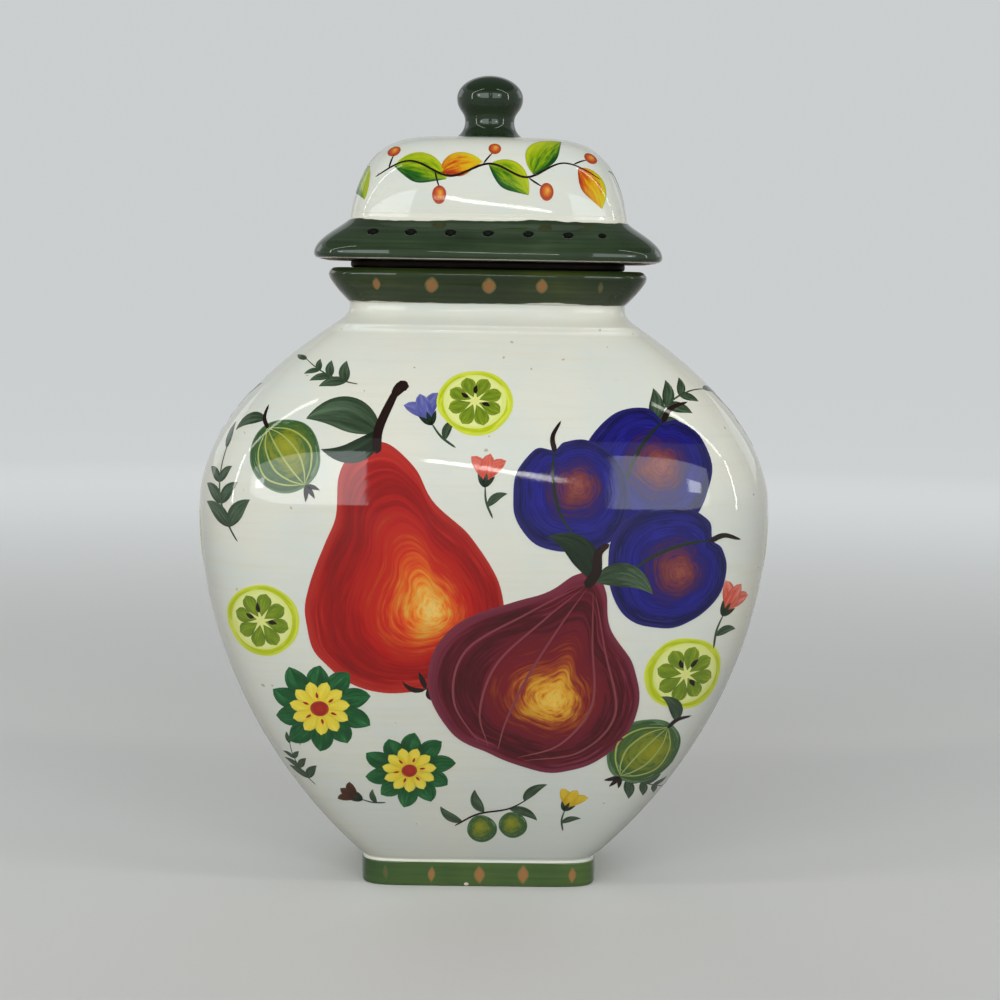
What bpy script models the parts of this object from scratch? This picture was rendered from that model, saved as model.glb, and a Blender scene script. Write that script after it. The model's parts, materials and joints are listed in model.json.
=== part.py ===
"""Oblong lidded biscotti jar in glazed earthenware: body, lid, knob and seal.

Metres, +Z up. The origin is the centre of the foot's underside. The wide
faces look along Y and the narrow ones along X. Every level ring of the jar is
a superellipse: a rectangle with soft corners and slightly bowed sides.
"""
import math

import bmesh
import bpy
from mathutils import Matrix, Vector

# Foot: an oblong ring that the jar stands on
FOOT_WIDTH = 0.0858
FOOT_DEPTH = 0.0632
FOOT_HEIGHT = 0.0104
FOOT_BAND = 0.0089
FOOT_RING = 0.0065
FOOT_RECESS = 0.0030
FOOT_EDGE = 0.0006
FOOT_SQUARENESS = 8.0

# Body as a whole, and its belly between the foot and the neck
BODY_HEIGHT = 0.2218
BELLY_WIDTH = 0.2028
BELLY_DEPTH = 0.1400
BELLY_SQUARENESS = 5.0
SHOULDER_HEIGHT = 0.0670
LOWER_POWERS = (2.0, 0.944)
UPPER_POWERS = (2.0, 0.970)

# Neck and the flared rim above it
NECK_WIDTH = 0.0992
NECK_DEPTH = 0.0718
NECK_HEIGHT = 0.0046
NECK_COVE = 0.0024
NECK_SQUARENESS = 7.0
RIM_OVERHANG = 0.0072
RIM_HEIGHT = 0.0120
RIM_EDGE = 0.0024
BORE_EDGE = 0.0008

# Bezier points of the rim's flare, as shares of its reach and of its rise
RIM_FLARE = ((0.0, 0.0), (0.5, 0.15), (0.95, 0.6), (1.0, 1.0))

# Thickness of the clay
WALL = 0.0055
FLOOR = 0.0065
FLOOR_FILLET = 0.0060

# Lid: a domed box on an overhanging flange, with a plug that drops into the bore
LID_OVERHANG = 0.0051
LID_EDGE = 0.0019
FLANGE_HEIGHT = 0.0146
DOME_WIDTH = 0.0992
DOME_DEPTH = 0.0718
DOME_HEIGHT = 0.0297
DOME_POWERS = (1.4, 6.0)
CROWN_SQUARENESS = 4.5
LID_WALL = 0.0050
PLUG_WALL = 0.0045
PLUG_DROP = 0.0125
PLUG_EDGE = 0.0008

# Bezier points of the flange's slope, as shares of its reach and of its rise
FLANGE_SLOPE = ((1.0, 0.0), (0.98, 0.45), (0.12, 0.78), (0.0, 1.0))

# Dimples pressed in a row along the flange
DIMPLE_LENGTH = 0.0040
DIMPLE_HEIGHT = 0.0022
DIMPLE_DEPTH = 0.0010
DIMPLE_PITCH = 0.0142
DIMPLE_COUNT_WIDE = 7
DIMPLE_COUNT_NARROW = 5
DIMPLE_PLACE = 0.50

# Rubber seal stretched round the plug
SEAL_THICKNESS = 0.0025
SEAL_LEDGE = 0.0051
SEAL_EDGE = 0.0006
SEAL_SKIRT = 0.0014
SEAL_DROP = 0.0085
FIN_COUNT = 2
FIN_REACH = 0.0016
FIN_ROOT = 0.0014
FIN_TIP = 0.0004
FIN_PITCH = 0.0034
FIN_CLEARANCE = 0.0005

# Knob: a flattened ball on a waisted stem
KNOB_BASE_RADIUS = 0.0128
KNOB_WAIST_RADIUS = 0.0090
KNOB_BALL_RADIUS = 0.0120
KNOB_WAIST_RISE = 0.0062
KNOB_BALL_RISE = 0.0081
KNOB_TOP_RISE = 0.0082
KNOB_PAD_MARGIN = 0.0014

# Gap between pieces that touch or are joined on the real jar
SEAT_GAP = 0.0003

# Points round a ring, and the squareness of a circle
RING_COUNT = 36
KNOB_COUNT = 24
ROUND = 2.0

# Levels above the base
RIM_TOP = BODY_HEIGHT
NECK_TOP = RIM_TOP - RIM_HEIGHT
SHOULDER_TOP = NECK_TOP - NECK_HEIGHT
BELLY_LEVEL = SHOULDER_TOP - SHOULDER_HEIGHT

# Levels above the rim's top, where the lid's own origin lies
SEAL_TOP = SEAT_GAP + SEAL_THICKNESS
LID_UNDERSIDE = SEAL_TOP + SEAT_GAP
DOME_BASE = LID_UNDERSIDE + FLANGE_HEIGHT
DOME_TOP = DOME_BASE + DOME_HEIGHT

# Steps outward from the neck, the same on all four sides
BORE_STEP = -WALL
SKIRT_STEP = BORE_STEP - FIN_CLEARANCE - FIN_REACH
PLUG_STEP = SKIRT_STEP - SEAL_SKIRT - SEAT_GAP
PLUG_BORE_STEP = PLUG_STEP - PLUG_WALL
FLANGE_STEP = RIM_OVERHANG + LID_OVERHANG

# Finishes of the ceramic pieces, in the order of their material slots
SKINS = ("cream", "green", "clay")


def finish(name, color, roughness):
    """A plain material with the colour and gloss of one finish."""
    material = bpy.data.materials.new(name)
    material.use_nodes = True
    shader = material.node_tree.nodes["Principled BSDF"]
    shader.inputs["Base Color"].default_value = (*color, 1.0)
    shader.inputs["Roughness"].default_value = roughness
    shader.inputs["Metallic"].default_value = 0.0
    return material


def row(half_width, half_depth, height, squareness, skin="cream"):
    """One level ring of a piece, and the finish of the wall that leads on from it."""
    return (half_width, half_depth, height, squareness, skin)


def neck_row(step, height, skin="cream", squareness=NECK_SQUARENESS):
    """A ring that stands a given step outside the neck."""
    return row(NECK_WIDTH / 2 + step, NECK_DEPTH / 2 + step, height, squareness, skin)


def ring_points(half_width, half_depth, height, squareness, count):
    """Points of a superellipse, closest together at its corners."""
    points = []
    for index in range(count):
        angle = math.tau * index / count
        across, along = math.cos(angle), math.sin(angle)
        x = math.copysign(abs(across) ** (2 / squareness), across) * half_width
        y = math.copysign(abs(along) ** (2 / squareness), along) * half_depth
        points.append(Vector((x, y, height)))
    return points


def bezier(controls, t):
    """A point on a Bezier curve."""
    points = [Vector(p) for p in controls]
    while len(points) > 1:
        points = [a.lerp(b, t) for a, b in zip(points, points[1:])]
    return points[0]


def corner(center, radius, start, end, steps):
    """Points on a round edge of an outline, from one angle to another in degrees."""
    points = []
    for index in range(steps + 1):
        angle = math.radians(start + (end - start) * index / steps)
        points.append((center[0] + radius * math.cos(angle), center[1] + radius * math.sin(angle)))
    return points


def loft(name, rows, finishes, count=RING_COUNT, closed=False):
    """Skin a row of rings. The outer side runs upward, and closed makes a hoop."""
    mesh = bmesh.new()
    rings = [[mesh.verts.new(p) for p in ring_points(*r[:4], count)] for r in rows]
    pairs = list(zip(rings, rings[1:], rows))
    if closed:
        pairs.append((rings[-1], rings[0], rows[-1]))
    else:
        mesh.faces.new(list(reversed(rings[0]))).material_index = SKINS.index(rows[0][4])
        mesh.faces.new(rings[-1]).material_index = SKINS.index(rows[-1][4])
    for low, high, base in pairs:
        for index in range(count):
            after = (index + 1) % count
            face = mesh.faces.new((low[index], low[after], high[after], high[index]))
            face.material_index = SKINS.index(base[4])
    data = bpy.data.meshes.new(name)
    mesh.to_mesh(data)
    mesh.free()
    data.shade_smooth()
    data.set_sharp_from_angle(angle=math.radians(40))
    for material in finishes:
        data.materials.append(material)
    piece = bpy.data.objects.new(name, data)
    bpy.context.scene.collection.objects.link(piece)
    return piece


def swell(t, powers):
    """How far the belly stands out, from 1 at its widest to 0 at the end of its rise."""
    return (1 - t ** powers[0]) ** powers[1]


def belly_row(t, end_width, end_depth, end_squareness, rise, powers):
    """A ring of the belly, a share t of the way along a rise from the widest level."""
    out = swell(t, powers)
    return row(
        end_width / 2 + (BELLY_WIDTH - end_width) / 2 * out,
        end_depth / 2 + (BELLY_DEPTH - end_depth) / 2 * out,
        BELLY_LEVEL + rise * t,
        end_squareness + (BELLY_SQUARENESS - end_squareness) * out,
    )


def lower_rows(steps):
    """The belly from the foot up to its widest level, which is left to the upper part."""
    shares = [math.cos(math.pi / 2 * index / steps) for index in range(steps)]
    return [
        belly_row(t, FOOT_WIDTH, FOOT_DEPTH, FOOT_SQUARENESS, FOOT_HEIGHT - BELLY_LEVEL, LOWER_POWERS)
        for t in shares
    ]


def upper_rows(steps):
    """The belly from its widest level up to where the neck's cove begins."""
    shares = [math.sin(math.pi / 2 * index / steps) for index in range(steps)]
    return [
        belly_row(t, NECK_WIDTH, NECK_DEPTH, NECK_SQUARENESS, SHOULDER_HEIGHT, UPPER_POWERS)
        for t in shares
    ]


def inside(rows, wall):
    """The same rings moved in through the clay, square to the outline."""
    inner = []
    for before, here, after in zip(rows, rows[1:], rows[2:]):
        along = Vector((after[0] - before[0], after[2] - before[2])).normalized()
        inner.append(row(here[0] - along.y * wall, here[1] - along.y * wall,
                         here[2] + along.x * wall, here[3]))
    return inner


def foot_rows():
    """The foot ring: its bare clay underside round a recess, and its green band."""
    width, depth = FOOT_WIDTH / 2, FOOT_DEPTH / 2
    inner = FOOT_RING
    return [
        row(width - inner - FOOT_EDGE, depth - inner - FOOT_EDGE, FOOT_RECESS, FOOT_SQUARENESS, "clay"),
        row(width - inner, depth - inner, 0.0, FOOT_SQUARENESS, "clay"),
        row(width - FOOT_EDGE, depth - FOOT_EDGE, 0.0, FOOT_SQUARENESS, "clay"),
        row(width, depth, FOOT_EDGE, FOOT_SQUARENESS, "green"),
        row(width, depth, FOOT_BAND, FOOT_SQUARENESS),
    ]


def cove_rows(shoulder):
    """The hollow curve from the shoulder into the upright neck."""
    start = (shoulder[0] - NECK_WIDTH / 2, shoulder[2])
    controls = (start, (0.0, SHOULDER_TOP), (0.0, SHOULDER_TOP + NECK_COVE))
    return [neck_row(*bezier(controls, t)) for t in (0.4, 0.7, 1.0)]


def rim_rows():
    """The flared rim: out from the neck, over its round edge and in to the bore."""
    flare = RIM_HEIGHT - RIM_EDGE
    controls = [(RIM_OVERHANG * out, NECK_TOP + flare * up) for out, up in RIM_FLARE]
    rows = [neck_row(*bezier(controls, t), "green") for t in (0.0, 0.3, 0.55, 0.8)]
    edge = corner((RIM_OVERHANG - RIM_EDGE, RIM_TOP - RIM_EDGE), RIM_EDGE, 0, 90, 3)
    rows += [neck_row(step, height, "green") for step, height in edge]
    rows.append(neck_row(BORE_STEP + BORE_EDGE, RIM_TOP))
    rows.append(neck_row(BORE_STEP, RIM_TOP - BORE_EDGE))
    return rows


def inner_rows(outer):
    """The jar's inside, from the foot of the bore down to the floor."""
    floor = FOOT_RECESS + FLOOR
    bore = neck_row(BORE_STEP, SHOULDER_TOP - WALL / 2)
    wall = [r for r in inside(outer, WALL)
            if r[0] > bore[0] + WALL / 2 and r[2] > floor + FLOOR_FILLET]
    low = wall[0]
    return [bore] + wall[::-1] + [
        row(low[0] - FLOOR_FILLET / 2, low[1] - FLOOR_FILLET / 2, floor + FLOOR_FILLET / 3, low[3]),
        row(low[0] - FLOOR_FILLET * 1.5, low[1] - FLOOR_FILLET * 1.5, floor, low[3]),
    ]


def make_jar_body(finishes):
    """The cast body: foot ring, belly, neck, flared rim and open inside."""
    belly = lower_rows(11) + upper_rows(10)
    rows = foot_rows() + belly + cove_rows(belly[-1]) + rim_rows() + inner_rows(belly)
    return loft("jar_body", rows, finishes)


def dome_row(angle):
    """A ring of the lid's dome, from its base at 0 degrees to its crown at 90."""
    rise, spread = DOME_POWERS
    height = math.sin(math.radians(angle)) ** (2 / rise)
    out = math.cos(math.radians(angle)) ** (2 / spread)
    squareness = CROWN_SQUARENESS + (NECK_SQUARENESS - CROWN_SQUARENESS) * (1 - height)
    return row(DOME_WIDTH / 2 * out, DOME_DEPTH / 2 * out, DOME_BASE + DOME_HEIGHT * height, squareness)


def flange_controls():
    """The flange's sloping top as a Bezier of outward step and level, from its tip up to the dome."""
    base = (DOME_WIDTH - NECK_WIDTH) / 2
    reach = FLANGE_STEP - base
    slope = FLANGE_HEIGHT - LID_EDGE
    tip_level = LID_UNDERSIDE + LID_EDGE
    return [(base + reach * out, tip_level + slope * up) for out, up in FLANGE_SLOPE]


def make_lid(finishes):
    """The cast lid, from its hollow ceiling down inside the plug and up the outside."""
    dome = [dome_row(angle) for angle in (0, 12, 24, 36, 48, 59, 69, 77, 83)]
    hollow = inside(dome, LID_WALL)
    ceiling = hollow[-1]
    plug_foot = LID_UNDERSIDE - PLUG_DROP
    pad = KNOB_BASE_RADIUS + KNOB_PAD_MARGIN
    rows = [row(ceiling[0] * 0.6, ceiling[1] * 0.6, DOME_TOP - LID_WALL, ceiling[3])]
    rows += hollow[::-1]
    rows += [
        neck_row(PLUG_BORE_STEP, LID_UNDERSIDE + LID_WALL),
        neck_row(PLUG_BORE_STEP, plug_foot + PLUG_EDGE, "clay"),
        neck_row(PLUG_BORE_STEP + PLUG_EDGE, plug_foot, "clay"),
        neck_row(PLUG_STEP - PLUG_EDGE, plug_foot, "clay"),
        neck_row(PLUG_STEP, plug_foot + PLUG_EDGE, "clay"),
        neck_row(PLUG_STEP, LID_UNDERSIDE, "clay"),
    ]
    tip = corner((FLANGE_STEP - LID_EDGE, LID_UNDERSIDE + LID_EDGE), LID_EDGE, -90, 0, 3)
    rows += [neck_row(step, height, "green") for step, height in tip[:-1]]
    rows += [neck_row(*bezier(flange_controls(), t), "green") for t in (0.0, 0.2, 0.4, 0.6, 0.8)]
    rows += dome
    rows.append(row(pad, pad, DOME_TOP, ROUND))
    return loft("lid", rows, finishes)


def face_places(count):
    """Places of a row of dimples, spread about the middle of a face."""
    return [(index - (count - 1) / 2) * DIMPLE_PITCH for index in range(count)]


def make_dimple_cutter():
    """One wire object of all the ovals that press the dimples into the flange."""
    step, level = bezier(flange_controls(), DIMPLE_PLACE)
    above = bezier(flange_controls(), DIMPLE_PLACE + 0.05)
    slope = math.atan2(above.y - level, step - above.x)
    size = Matrix.Diagonal((DIMPLE_LENGTH / 2, DIMPLE_HEIGHT / 2, DIMPLE_DEPTH, 1.0))
    mesh = bmesh.new()
    for turn, half, count in (
        (0, NECK_DEPTH / 2, DIMPLE_COUNT_WIDE),
        (90, NECK_WIDTH / 2, DIMPLE_COUNT_NARROW),
        (180, NECK_DEPTH / 2, DIMPLE_COUNT_WIDE),
        (270, NECK_WIDTH / 2, DIMPLE_COUNT_NARROW),
    ):
        other = (NECK_WIDTH + NECK_DEPTH) / 2 - half
        for place in face_places(count):
            bow = (1 - abs(place / (other + step)) ** NECK_SQUARENESS) ** (1 / NECK_SQUARENESS)
            matrix = (
                Matrix.Rotation(math.radians(turn), 4, "Z")
                @ Matrix.Translation((place, -(half + step) * bow, level))
                @ Matrix.Rotation(slope, 4, "X")
                @ size
            )
            bmesh.ops.create_uvsphere(mesh, u_segments=10, v_segments=6, radius=1.0, matrix=matrix)
    data = bpy.data.meshes.new("dimple_cutter")
    mesh.to_mesh(data)
    mesh.free()
    cutter = bpy.data.objects.new("dimple_cutter", data)
    bpy.context.scene.collection.objects.link(cutter)
    cutter.hide_render = True
    cutter.display_type = "WIRE"
    return cutter


def press_dimples(lid, cutter):
    """Cut the dimples out of the lid."""
    cut = lid.modifiers.new("dimples", "BOOLEAN")
    cut.operation = "DIFFERENCE"
    cut.solver = "EXACT"
    cut.object = cutter


def make_seal(rubber):
    """The rubber seal: a flat rim on a skirt with thin fins that brush the bore."""
    inner = PLUG_STEP + SEAT_GAP
    outer = BORE_STEP + SEAL_LEDGE
    rows = [neck_row(inner, -SEAL_DROP), neck_row(SKIRT_STEP, -SEAL_DROP)]
    for index in reversed(range(FIN_COUNT)):
        low = -FIN_PITCH * (index + 0.75)
        rows += [
            neck_row(SKIRT_STEP, low),
            neck_row(SKIRT_STEP + FIN_REACH, low + FIN_ROOT - FIN_TIP),
            neck_row(SKIRT_STEP + FIN_REACH, low + FIN_ROOT),
            neck_row(SKIRT_STEP, low + FIN_ROOT),
        ]
    rows += [
        neck_row(SKIRT_STEP, SEAT_GAP),
        neck_row(outer - SEAL_EDGE, SEAT_GAP),
        neck_row(outer, SEAT_GAP + SEAL_EDGE),
        neck_row(outer, SEAL_TOP - SEAL_EDGE),
        neck_row(outer - SEAL_EDGE, SEAL_TOP),
        neck_row(inner, SEAL_TOP),
    ]
    return loft("lid_seal", rows, [rubber], closed=True)


def knob_outline():
    """Radius and level of the turned knob, from its base up."""
    waist = KNOB_WAIST_RISE
    ball = waist + KNOB_BALL_RISE
    outline = []
    for t in (0.0, 0.12, 0.35, 0.65):
        flare = 1 - math.sqrt(1 - (1 - t) ** 2)
        outline.append((KNOB_WAIST_RADIUS + (KNOB_BASE_RADIUS - KNOB_WAIST_RADIUS) * flare, waist * t))
    for t in (0.0, 0.25, 0.5, 0.75):
        ease = t * t * (3 - 2 * t)
        outline.append((KNOB_WAIST_RADIUS + (KNOB_BALL_RADIUS - KNOB_WAIST_RADIUS) * ease,
                        waist + KNOB_BALL_RISE * t))
    for angle in (0, 18, 36, 54, 70, 82):
        turn = math.radians(angle)
        outline.append((KNOB_BALL_RADIUS * math.cos(turn), ball + KNOB_TOP_RISE * math.sin(turn)))
    outline[-1] = (outline[-1][0], ball + KNOB_TOP_RISE)
    return outline


def make_knob(green):
    """The knob, cast by itself and stuck to the lid's crown with slip."""
    foot = DOME_TOP + SEAT_GAP
    rows = [row(radius, radius, foot + rise, ROUND) for radius, rise in knob_outline()]
    return loft("lid_knob", rows, [green], count=KNOB_COUNT)


def main():
    for old in list(bpy.data.objects):
        bpy.data.objects.remove(old)
    cream = finish("cream_glaze", (0.78, 0.76, 0.69), 0.15)
    green = finish("green_glaze", (0.045, 0.080, 0.045), 0.18)
    clay = finish("bare_clay", (0.66, 0.55, 0.46), 0.85)
    rubber = finish("seal_rubber", (0.030, 0.018, 0.014), 0.60)

    body = make_jar_body([cream, green, clay])
    lift = bpy.data.objects.new("lid_lift_axis", None)
    lift.location = (0.0, 0.0, RIM_TOP)
    bpy.context.scene.collection.objects.link(lift)

    lid = make_lid([cream, green, clay])
    cutter = make_dimple_cutter()
    press_dimples(lid, cutter)
    seal = make_seal(rubber)
    knob = make_knob(green)
    for piece in (lid, cutter, seal, knob):
        piece.parent = lift
    bpy.context.view_layer.update()
    for piece in (body, lid, seal, knob):
        high = max((piece.matrix_world @ Vector(c)).z for c in piece.bound_box)
        print(f"{piece.name}: {len(piece.data.polygons)} faces, top at {high * 1000:.1f} mm")


main()
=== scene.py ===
# %% [markdown]
# # A hand-painted biscotti jar
#
# The real jar is slip-cast earthenware: an oblong body with a flared rim, a domed lid with a knob, and
# a rubber seal round the lid's plug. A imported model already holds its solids, its joint and its real
# size. This script loads that model as a fixed frame and makes what the eye sees: fine surfaces,
# glazes, and fruit and leaves laid on with a brush. Sizes are in metres unless a name or a comment
# says millimetres, +Z is up, and the wide face that is seen first looks along -Y.

# %% Load the frame
import json
import math

import bpy
import numpy as np
from mathutils import Matrix, Vector, noise
from mathutils.bvhtree import BVHTree
from mathutils.geometry import barycentric_transform

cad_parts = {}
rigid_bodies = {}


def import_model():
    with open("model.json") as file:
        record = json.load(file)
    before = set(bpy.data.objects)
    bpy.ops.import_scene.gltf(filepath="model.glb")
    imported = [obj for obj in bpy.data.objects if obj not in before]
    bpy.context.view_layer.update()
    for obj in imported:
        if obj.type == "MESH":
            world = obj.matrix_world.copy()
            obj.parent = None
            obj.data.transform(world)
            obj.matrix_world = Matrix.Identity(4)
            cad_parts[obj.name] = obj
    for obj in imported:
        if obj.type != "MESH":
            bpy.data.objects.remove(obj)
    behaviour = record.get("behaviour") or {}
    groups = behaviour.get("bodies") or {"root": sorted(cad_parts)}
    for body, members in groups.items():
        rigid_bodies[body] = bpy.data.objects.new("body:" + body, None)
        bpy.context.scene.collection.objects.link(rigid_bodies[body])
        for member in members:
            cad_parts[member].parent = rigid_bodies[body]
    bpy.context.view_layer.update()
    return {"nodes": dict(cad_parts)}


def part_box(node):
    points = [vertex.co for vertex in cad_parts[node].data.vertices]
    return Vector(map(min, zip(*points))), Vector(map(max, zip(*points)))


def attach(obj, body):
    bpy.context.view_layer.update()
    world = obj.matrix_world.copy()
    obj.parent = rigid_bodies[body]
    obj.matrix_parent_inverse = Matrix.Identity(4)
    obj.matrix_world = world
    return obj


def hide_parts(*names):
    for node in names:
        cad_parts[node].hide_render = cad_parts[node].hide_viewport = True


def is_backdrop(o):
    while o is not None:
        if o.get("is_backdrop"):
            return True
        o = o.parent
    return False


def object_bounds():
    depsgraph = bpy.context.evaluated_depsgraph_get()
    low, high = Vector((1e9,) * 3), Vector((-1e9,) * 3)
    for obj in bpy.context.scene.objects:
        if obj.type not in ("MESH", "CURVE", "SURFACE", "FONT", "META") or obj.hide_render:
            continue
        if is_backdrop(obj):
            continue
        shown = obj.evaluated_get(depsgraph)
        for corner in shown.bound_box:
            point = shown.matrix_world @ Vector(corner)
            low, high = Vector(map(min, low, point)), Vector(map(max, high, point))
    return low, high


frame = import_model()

MM = 0.001
body_low, body_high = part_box("jar_body")
lid_low, lid_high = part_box("lid")
knob_low, knob_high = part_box("lid_knob")
seal_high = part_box("lid_seal")[1]
for node in frame["nodes"]:
    low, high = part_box(node)
    size = (high - low) / MM
    print(f"{node}: {size.x:.1f} x {size.y:.1f} x {size.z:.1f} mm")

# %% [markdown]
# ## Rings, and skins made of rings
#
# Every level cut through this jar is a rectangle with soft corners and slightly bowed sides. That is a
# superellipse, so one formula with a "squareness" gives them all: 2 is a plain ellipse, 8 is nearly a
# box. A subdivided cube could come close, but the formula keeps the true width at every level. Points
# that are evenly spread by angle would leave the long sides bare and crowd the corners, so they are
# spread by how far one walks round the ring, plus a little for every turn. Reflections on glaze show
# each uneven face, and this spacing keeps them calm.

# %% Rings
RING_COUNT, RING_SAMPLES = 320, 3201
TURN_WEIGHT = 0.02


def ring(half_width, half_depth, squareness, count):
    """Points round a superellipse, evenly spread, with some more where it turns."""
    angle = np.linspace(0, math.tau, RING_SAMPLES)
    across, along = np.abs(np.cos(angle)), np.abs(np.sin(angle))
    reach = ((across / half_width) ** squareness + (along / half_depth) ** squareness) ** (-1 / squareness)
    points = np.stack([reach * np.cos(angle), reach * np.sin(angle)], 1)
    step = np.diff(points, axis=0)
    heading = np.unwrap(np.arctan2(step[:, 1], step[:, 0]))
    turn = np.abs(np.diff(heading, append=heading[0] + math.tau))
    walk = np.concatenate([[0], np.cumsum(np.hypot(*step.T) + TURN_WEIGHT * turn)])
    wanted = np.linspace(0, walk[-1], count, endpoint=False)
    return np.stack([np.interp(wanted, walk, points[:, 0]), np.interp(wanted, walk, points[:, 1])], 1)


def rings(rows, count=RING_COUNT):
    """A grid of points, one ring for each row of (half width, half depth, height, squareness)."""
    grid = np.empty((len(rows), count, 3))
    for index, (half_width, half_depth, height, squareness) in enumerate(rows):
        grid[index, :, :2] = ring(half_width, half_depth, squareness, count)
        grid[index, :, 2] = height
    return grid


print(f"a ring: {RING_COUNT} points, spread by {RING_SAMPLES - 1} short steps")

# %% Faces, objects and closed skins
def grid_faces(rows, columns, hoop=False):
    """Quads of a grid that closes round its columns, and over its rows too if it is a hoop."""
    faces = []
    for row in range(rows if hoop else rows - 1):
        above = (row + 1) % rows
        for column in range(columns):
            after = (column + 1) % columns
            faces.append((row * columns + column, row * columns + after,
                          above * columns + after, above * columns + column))
    return faces


def new_object(name, points, faces, materials, slots=None):
    """A smooth-shaded object from points and faces, with the material slot of each face."""
    data = bpy.data.meshes.new(name)
    data.from_pydata([tuple(p) for p in points], [], faces)
    for material in materials:
        data.materials.append(material)
    if slots is not None:
        data.polygons.foreach_set("material_index", slots)
    data.shade_smooth()
    data.update()
    piece = bpy.data.objects.new(name, data)
    bpy.context.scene.collection.objects.link(piece)
    return piece


def closed_skin(name, grid, materials, row_slots=None):
    """A loft whose first and last rings close on a middle point, with a material slot for each row."""
    rows, columns = grid.shape[:2]
    points = np.concatenate([grid.reshape(-1, 3), [grid[0].mean(0)], [grid[-1].mean(0)]])
    faces = grid_faces(rows, columns)
    slots = np.repeat(np.zeros(rows - 1, int) if row_slots is None else row_slots[:-1], columns)
    start, end = rows * columns, rows * columns + 1
    last = (rows - 1) * columns
    faces += [(start, (i + 1) % columns, i) for i in range(columns)]
    faces += [(last + i, last + (i + 1) % columns, end) for i in range(columns)]
    ends = [slots[0]] * columns + [slots[-1]] * columns
    return new_object(name, points, faces, materials, np.concatenate([slots, ends]).astype(int))


# %% Curves
def bezier(controls, count):
    """Points along a Bezier curve, from its control points."""
    shares = np.linspace(0, 1, count)[:, None]
    points = [np.tile(np.asarray(control, float), (count, 1)) for control in controls]
    while len(points) > 1:
        points = [a + (b - a) * shares for a, b in zip(points, points[1:])]
    return points[0]


def arc(center, radius, start, end, count):
    """Points along a round edge, from one angle to another in degrees."""
    angle = np.radians(np.linspace(start, end, count))
    return np.stack([center[0] + radius * np.cos(angle), center[1] + radius * np.sin(angle)], 1)


def ease(share):
    """A smooth step from 0 to 1."""
    share = np.clip(share, 0, 1)
    return share * share * (3 - 2 * share)


# %% [markdown]
# ## The body's outline
#
# The potter's model for the mould was cut by hand along one sweeping line. A long list of measured
# points could follow it, but every small error in them would show as a ripple. So the belly is one
# formula, and short curves make the rest. The belly swells from the foot to its widest level and
# closes again to the neck. Its lower part is almost twice as long as its upper part, and a sudden
# change from one to the other would show as a kink in the glaze's reflections, so the change is eased
# over almost three centimetres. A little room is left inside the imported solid's box, so that paint
# can lie on top of the glaze.

# %% Sizes of the body
PAINT_ROOM = 0.00030
FOOT_WIDTH, FOOT_DEPTH, FOOT_SQUARENESS = 0.0858, 0.0632, 8.0
FOOT_HEIGHT, FOOT_BAND, FOOT_RING, FOOT_RECESS = 0.0104, 0.0089, 0.0065, 0.0030
FOOT_EDGE, FOOT_SHOULDER, FOOT_COVE = 0.0006, 0.0005, 0.0009
BELLY_WIDTH, BELLY_DEPTH, BELLY_SQUARENESS = body_high.x - body_low.x, body_high.y - body_low.y, 5.0
NECK_WIDTH, NECK_DEPTH, NECK_SQUARENESS = 0.0992, 0.0718, 7.0
RIM_TOP = body_high.z
RIM_HEIGHT, RIM_OVERHANG, RIM_EDGE, BORE_EDGE = 0.0120, 0.0072, 0.0024, 0.0008
NECK_TOP = RIM_TOP - RIM_HEIGHT
NECK_HEIGHT = 0.0046
SHOULDER_TOP = NECK_TOP - NECK_HEIGHT
SHOULDER_HEIGHT = 0.0670
BELLY_LEVEL = SHOULDER_TOP - SHOULDER_HEIGHT
BELLY_EASE = 0.014
LOWER_POWER, UPPER_POWER = 0.944, 0.970
RIM_FLARE = ((0.0, 0.0), (0.38, 0.28), (0.92, 0.74), (1.0, 1.0))
WALL, FLOOR = 0.0055, 0.0065
FLOOR_LEVEL = FOOT_RECESS + FLOOR
FLOOR_CURVE_TOP = FOOT_RECESS + 1.9 * FLOOR
FLOOR_CURVE = ((0.003, 0.0024), (0.007, 0.0003))
BELLY_START = FOOT_HEIGHT + 0.0009
COVE_START, COVE_TOP = SHOULDER_TOP - 0.0042, NECK_TOP - 0.0012
FOOT_WALL_LEVELS = (0.0016, 0.0072)
END_SHARES = (0.1, 0.4, 0.7)
print(f"belly: widest {BELLY_LEVEL / MM:.0f} mm up, neck {NECK_TOP / MM:.0f}, rim {RIM_TOP / MM:.0f}")


def belly_rows(levels):
    """The belly's rows at some levels."""
    levels = np.asarray(levels, float)
    share = ease((levels - BELLY_LEVEL + BELLY_EASE) / (2 * BELLY_EASE))
    rise = BELLY_LEVEL - FOOT_HEIGHT + (SHOULDER_HEIGHT - BELLY_LEVEL + FOOT_HEIGHT) * share
    power = LOWER_POWER + (UPPER_POWER - LOWER_POWER) * share
    out = (1 - np.clip(np.abs(levels - BELLY_LEVEL) / rise, 0, 1) ** 2) ** power
    width = FOOT_WIDTH + (NECK_WIDTH - FOOT_WIDTH) * share
    depth = FOOT_DEPTH + (NECK_DEPTH - FOOT_DEPTH) * share
    squareness = FOOT_SQUARENESS + (NECK_SQUARENESS - FOOT_SQUARENESS) * share
    return np.stack([
        (width + (BELLY_WIDTH - width) * out) / 2 - PAINT_ROOM,
        (depth + (BELLY_DEPTH - depth) * out) / 2 - PAINT_ROOM,
        levels,
        squareness + (BELLY_SQUARENESS - squareness) * out,
    ], 1)


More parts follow.
